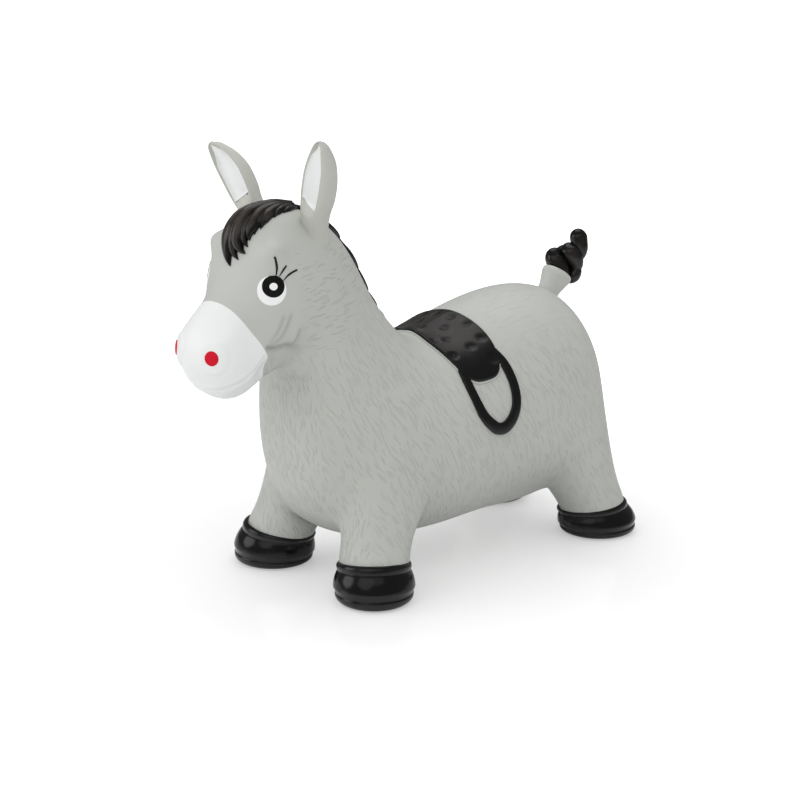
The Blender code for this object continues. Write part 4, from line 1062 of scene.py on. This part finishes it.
RIGHT_EAR_SHORT_SHARE, RIGHT_EAR_OUT_SHARE, RIGHT_EAR_SLIM_SHARE = 0.19, 0.03, 0.86
RIGHT_EAR_MOVE = (0.0034, -0.0030, 0.0)
LINING_SHARE, LINING_RISE, LINING_SINK, LINING_END = 0.68, 0.0005, 0.0010, 0.915


def ear_frame(side, count):
    """Middle line, directions across and to the front, half width and the two depths of an ear."""
    x, y, z, half, depth, back = curve(EAR, count).T
    above = (z - EAR_FOOT_Z) * (side < 0)
    y, z = side * (y + RIGHT_EAR_OUT_SHARE * above), z - RIGHT_EAR_SHORT_SHARE * above
    middle = at(np.stack([x, y, z], axis=1))
    if side < 0:
        middle = middle + RIGHT_EAR_MOVE
    along = unit(np.gradient(middle, axis=0))
    facing = mirrored(EAR_FACING, side)
    front = unit(facing - along * (along @ facing)[:, None])
    slim = 1 if side > 0 else RIGHT_EAR_SLIM_SHARE
    return middle, np.cross(along, front), front, slim * half, slim * depth, slim * back


def hollow(share, depth, open_share):
    """Depth of an ear's front where the sine of the turn is share: a round roll, with a hollow pressed
    into its middle as far as the ear is open there."""
    return depth * share ** 0.85 - open_share * np.minimum(EAR_CUP, 0.8 * depth) * step(0.62, 0.90, share)


def between(values, place):
    """Rows of a table at places that may lie between two of its rows."""
    whole = np.minimum(place.astype(int), len(values) - 2)
    part = (place - whole)[..., None]
    values = values.reshape(len(values), -1)
    return values[whole] * (1 - part) + values[whole + 1] * part


ear_grey = skin_paint("ear_grey", (0.485, 0.490, 0.446), hairy=False)
ear_white = sprayed_white("ear_white")
for side_name, side in HANDS:
    middle, across, front, half, depth, back = ear_frame(side, EAR_STEPS)
    cos, sin = hoop(72)
    opened = step(*EAR_OPEN_SHARES, np.linspace(0, 1, EAR_STEPS))
    deep = np.where(sin > 0, hollow(np.abs(sin), depth[:, None], opened[:, None]),
                    -back[:, None] * np.abs(sin) ** 0.92)
    rings = ringed(middle, across, front, half[:, None] * cos, deep)
    ways = unit(np.cross(np.roll(rings, -1, 1) - np.roll(rings, 1, 1), np.gradient(rings, axis=0)))
    seam = int(EAR_SEAM_SHARE * (EAR_STEPS - 1)) + 1
    foot = closed(rings[:seam], ways=ways[:seam])
    foot = formed(f"{side_name}_ear_foot", [foot], ear_grey, f"{side_name}_ear_root")
    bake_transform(foot)
    blade = closed(rings[seam - 1:], ways=ways[seam - 1:])
    blade = formed(f"{side_name}_ear_blade", [blade], ear_grey, f"{side_name}_ear")
    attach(blade, f"{side_name}_ear")

    cos, sin = hoop(40)
    rows = np.linspace(0, 1, 70)[:, None]
    spot = LINING_SHARE * (1 - step(0.55, 1.05, rows)) ** 0.6 * cos
    start = seam + 4 - 2 * spot * side
    place = start + (LINING_END * (EAR_STEPS - 1) - start) * rows
    lift = np.where(sin > 0, LINING_RISE * np.abs(sin) ** 0.4, -LINING_SINK * np.abs(sin))
    floor = hollow(np.sqrt(1 - spot ** 2), between(depth, place)[..., 0], between(opened, place)[..., 0])
    rings = (between(middle, place) + between(across, place) * between(half, place) * spot[..., None]
             + between(front, place) * (floor + lift)[..., None])
    panel = formed(f"{side_name}_ear_panel", [closed(rings)], ear_white,
                   f"{side_name}_ear_lining")
    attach(panel, f"{side_name}_ear")


# The tail
# A short hollow dock of grey skin with a thick rim, which bends, and a glossy black tuft: five locks that
# lie round each other and end in a knob.

# along the dock: x, z and radius
DOCK = (
    (-0.148, 0.248, 0.0150), (-0.154, 0.257, 0.0124), (-0.160, 0.265, 0.0118), (-0.1655, 0.2717, 0.0127),
    (-0.1710, 0.2787, 0.0150), (-0.1738, 0.2823, 0.0165), (-0.1760, 0.2851, 0.0171),
    (-0.1776, 0.2871, 0.0165), (-0.1780, 0.2876, 0.0151), (-0.1765, 0.2857, 0.0132),
)
# the tuft's locks: x, y, z and radius along each
TUFT = (
    ((-0.1864, 0.0080, 0.2780, 0.0068), (-0.1830, 0.0018, 0.2880, 0.0098), (-0.1800, -0.0042, 0.2975, 0.0110),
     (-0.1800, -0.0076, 0.3050, 0.0104), (-0.1842, -0.0062, 0.3130, 0.0074)),
    ((-0.1969, 0.0112, 0.2850, 0.0060), (-0.1975, 0.0084, 0.2945, 0.0092), (-0.1962, 0.0046, 0.3039, 0.0118),
     (-0.1944, 0.0001, 0.3113, 0.0116), (-0.1938, -0.0025, 0.3185, 0.0080)),
    ((-0.2028, 0.0112, 0.2990, 0.0054), (-0.2046, 0.0092, 0.3100, 0.0080), (-0.2048, 0.0062, 0.3188, 0.0094),
     (-0.2052, 0.0041, 0.3260, 0.0099), (-0.2060, 0.0030, 0.3335, 0.0088)),
    ((-0.1870, 0.0070, 0.2755, 0.0050), (-0.1934, 0.0094, 0.2820, 0.0068), (-0.1965, 0.0103, 0.2880, 0.0064),
     (-0.1990, 0.0105, 0.2940, 0.0050)),
    ((-0.1879, -0.0036, 0.2770, 0.0080), (-0.1918, -0.0050, 0.2892, 0.0114),
     (-0.1950, -0.0055, 0.2990, 0.0120), (-0.1949, -0.0076, 0.3073, 0.0106),
     (-0.1960, -0.0080, 0.3150, 0.0070)),
)

table = curve(DOCK, 70)
x, z, radius = table[:, :1], table[:, 1:2], table[:, 2:]
middle, across = at(np.hstack([x, 0 * x, z])), np.array([(0.0, 1.0, 0.0)])
up = np.cross(unit(middle[40] - middle[20]), across)
cos, sin = hoop(72)
rings = ringed(middle, across, up, radius * cos, radius * sin)
dock = formed("tail_stem", [closed(rings)], grey_skin, "tail_dock")
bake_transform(dock)

cos, sin = hoop(56)
crests = 0.5 + 0.5 * np.cos(3 * np.arctan2(sin, cos))
locks = []
for table in TUFT:
    table = curve(table, 60)
    middle, radius = at(table[:, :3]), table[:, 3:]
    along = unit(np.gradient(middle, axis=0))
    across = unit(np.cross(along, (0.0, 1.0, 0.0)))
    radius = radius * np.sqrt(1 - np.abs(np.linspace(-0.998, 0.998, 60)) ** 3.4)[:, None]
    # painted sheen: the colour is paler on the crests of the lobes, most midway along
    painted_light = 0.30 * np.clip(np.sin(np.linspace(0.3, 2.8, 60)), 0, 1)[:, None] * crests
    rings = ringed(middle, across, np.cross(along, across), radius * cos, radius * sin)
    locks.append(closed(rings, painted_light))
tuft = formed("tail_hair", locks, hair_black, "tail_tuft")
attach(tuft, "tail")


# The air valve
# A flanged seat of grey vinyl, moulded into the belly, and the soft white plug that is pressed into it
# and keeps the air in.

VALVE_X, VALVE_Z = 0.010, 0.0515
# radius and drop below the belly round each profile
SEAT = ((0.0048, -0.0100), (0.0090, -0.0100), (0.0090, -0.0060), (0.0072, -0.0060), (0.0072, 0.0022),
        (0.0100, 0.0022), (0.0100, 0.0040), (0.0048, 0.0040))
PLUG = ((0.0004, -0.0110), (0.0040, -0.0110), (0.0044, -0.0095), (0.0044, 0.0043), (0.0082, 0.0043),
        (0.0082, 0.0056), (0.0060, 0.0064), (0.0004, 0.0064))
EDGE_SHARES = np.array((0.04, 0.35, 0.65, 0.96))


def turned_body(profile, ends):
    """A body of revolution about the valve's axis, its edges eased. Heights count down from the belly."""
    profile = np.array(profile)
    after = profile[1:] if ends else np.roll(profile, -1, axis=0)
    share = EDGE_SHARES[:, None]
    eased = profile[:len(after), None] * (1 - share) + after[:, None] * share
    radius, drop = eased.reshape(-1, 2).T
    cos, sin = hoop(64)
    rings = np.stack([radius[:, None] * cos, radius[:, None] * sin, -drop[:, None] + 0 * cos], axis=-1)
    return closed(rings + at((VALVE_X, 0, VALVE_Z)), ends=ends)


plug_white = enamel("plug_white", (0.74, 0.75, 0.74), (0.66, 0.67, 0.655), 0.45)
seat = formed("valve_flange", [turned_body(SEAT, False)], grey_skin, "valve_seat")
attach(seat, "torso")
plug = formed("valve_stopper", [turned_body(PLUG, True)], plug_white, "valve_plug")
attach(plug, "plug")


# The studio
# A pale glossy floor, an even white surround and four soft lamps. The camera stands to the animal's
# front left.

CAMERA_TURN, CAMERA_RISE, CAMERA_FAR, CAMERA_LENS = math.radians(138.1), math.radians(15.7), 2.25, 96.75
TARGET = Vector(at((0.056, 0, 0.185)))
FLOOR_HALF, FLOOR_GREY, FLOOR_SEEN_LOSS = 6.0, 0.9, 0.28
# the floor's glow to the camera: over which distance from the middle it grows, from how much and by how much
GLOW_FAR, GLOW_NEAR, GLOW_GAIN = (0.20, 0.85), 0.38, 0.6
# the place, size and power of each lamp
LAMPS = (
    ("key", (0.9, 1.5, 2.2), 1.6, 2.2),
    ("front", (1.8, 0.6, 1.6), 1.8, 4.8),
    ("far_side", (1.7, -1.3, 0.9), 1.4, 7.6),
    ("top", (-0.6, -0.6, 1.9), 1.5, 6.0),
)
AMBIENT, SHINE, BACKDROP = 0.97, 0.14, 1.0      # the surround's light on matt, on glossy and to the camera

camera = linked("camera", bpy.data.cameras.new("camera"))
level = math.cos(CAMERA_RISE)
away = Vector((math.sin(CAMERA_TURN) * level, -math.cos(CAMERA_TURN) * level, math.sin(CAMERA_RISE)))
camera.location = TARGET + away * CAMERA_FAR
camera.rotation_euler = (-away).to_track_quat("-Z", "Y").to_euler()
camera.data.lens = CAMERA_LENS
bpy.context.scene.camera = camera

corners = FLOOR_HALF * np.array(((-1, -1, 0), (1, -1, 0), (1, 1, 0), (-1, 1, 0)))
floor = linked("floor", new_mesh("floor", corners, [(0, 1, 2, 3)]))
paint = Paint("floor", (FLOOR_GREY,) * 3, 0.12, Specular_IOR_Level=0.3, Emission_Strength=1.0)
seen = paint.node("ShaderNodeLightPath", {})
far = paint.vector("LENGTH", paint.node("ShaderNodeNewGeometry", {}))
glow = seen * (far.eased(*GLOW_FAR) * GLOW_GAIN + GLOW_NEAR)
for socket, shade in (("Emission Color", glow), ("Base Color", FLOOR_GREY - seen * FLOOR_SEEN_LOSS)):
    paint.shaded(socket, paint.node("ShaderNodeCombineXYZ", {}, shade, shade, shade))
floor.data.materials.append(paint.material)

world = bpy.data.worlds.new("surround")
bpy.context.scene.world = world
world.use_nodes = True
surround = Nodes(world.node_tree)
ambient = surround.tree.nodes["Background"]
surround.put(ambient.inputs["Color"], (1, 1, 1))
surround.put(ambient.inputs["Strength"], AMBIENT)
light = Wire(surround, ambient.outputs[0])
for ray, strength in (("Is Glossy Ray", SHINE), ("Is Camera Ray", BACKDROP)):
    is_ray = surround.node("ShaderNodeLightPath", {}, out=ray)
    shown = surround.node("ShaderNodeBackground", {}, (1, 1, 1), strength)
    light = surround.node("ShaderNodeMixShader", {}, is_ray, light, shown)
surround.put(surround.tree.nodes["World Output"].inputs[0], light)

for name, place, size, power in LAMPS:
    lamp = linked(name, bpy.data.lights.new(name, "AREA"))
    lamp.data.shape, lamp.data.size, lamp.data.energy = "DISK", size, power
    lamp.location = place
    lamp.rotation_euler = (Vector(place) - TARGET).to_track_quat("Z", "Y").to_euler()

bpy.context.scene.view_settings.view_transform = "Standard"
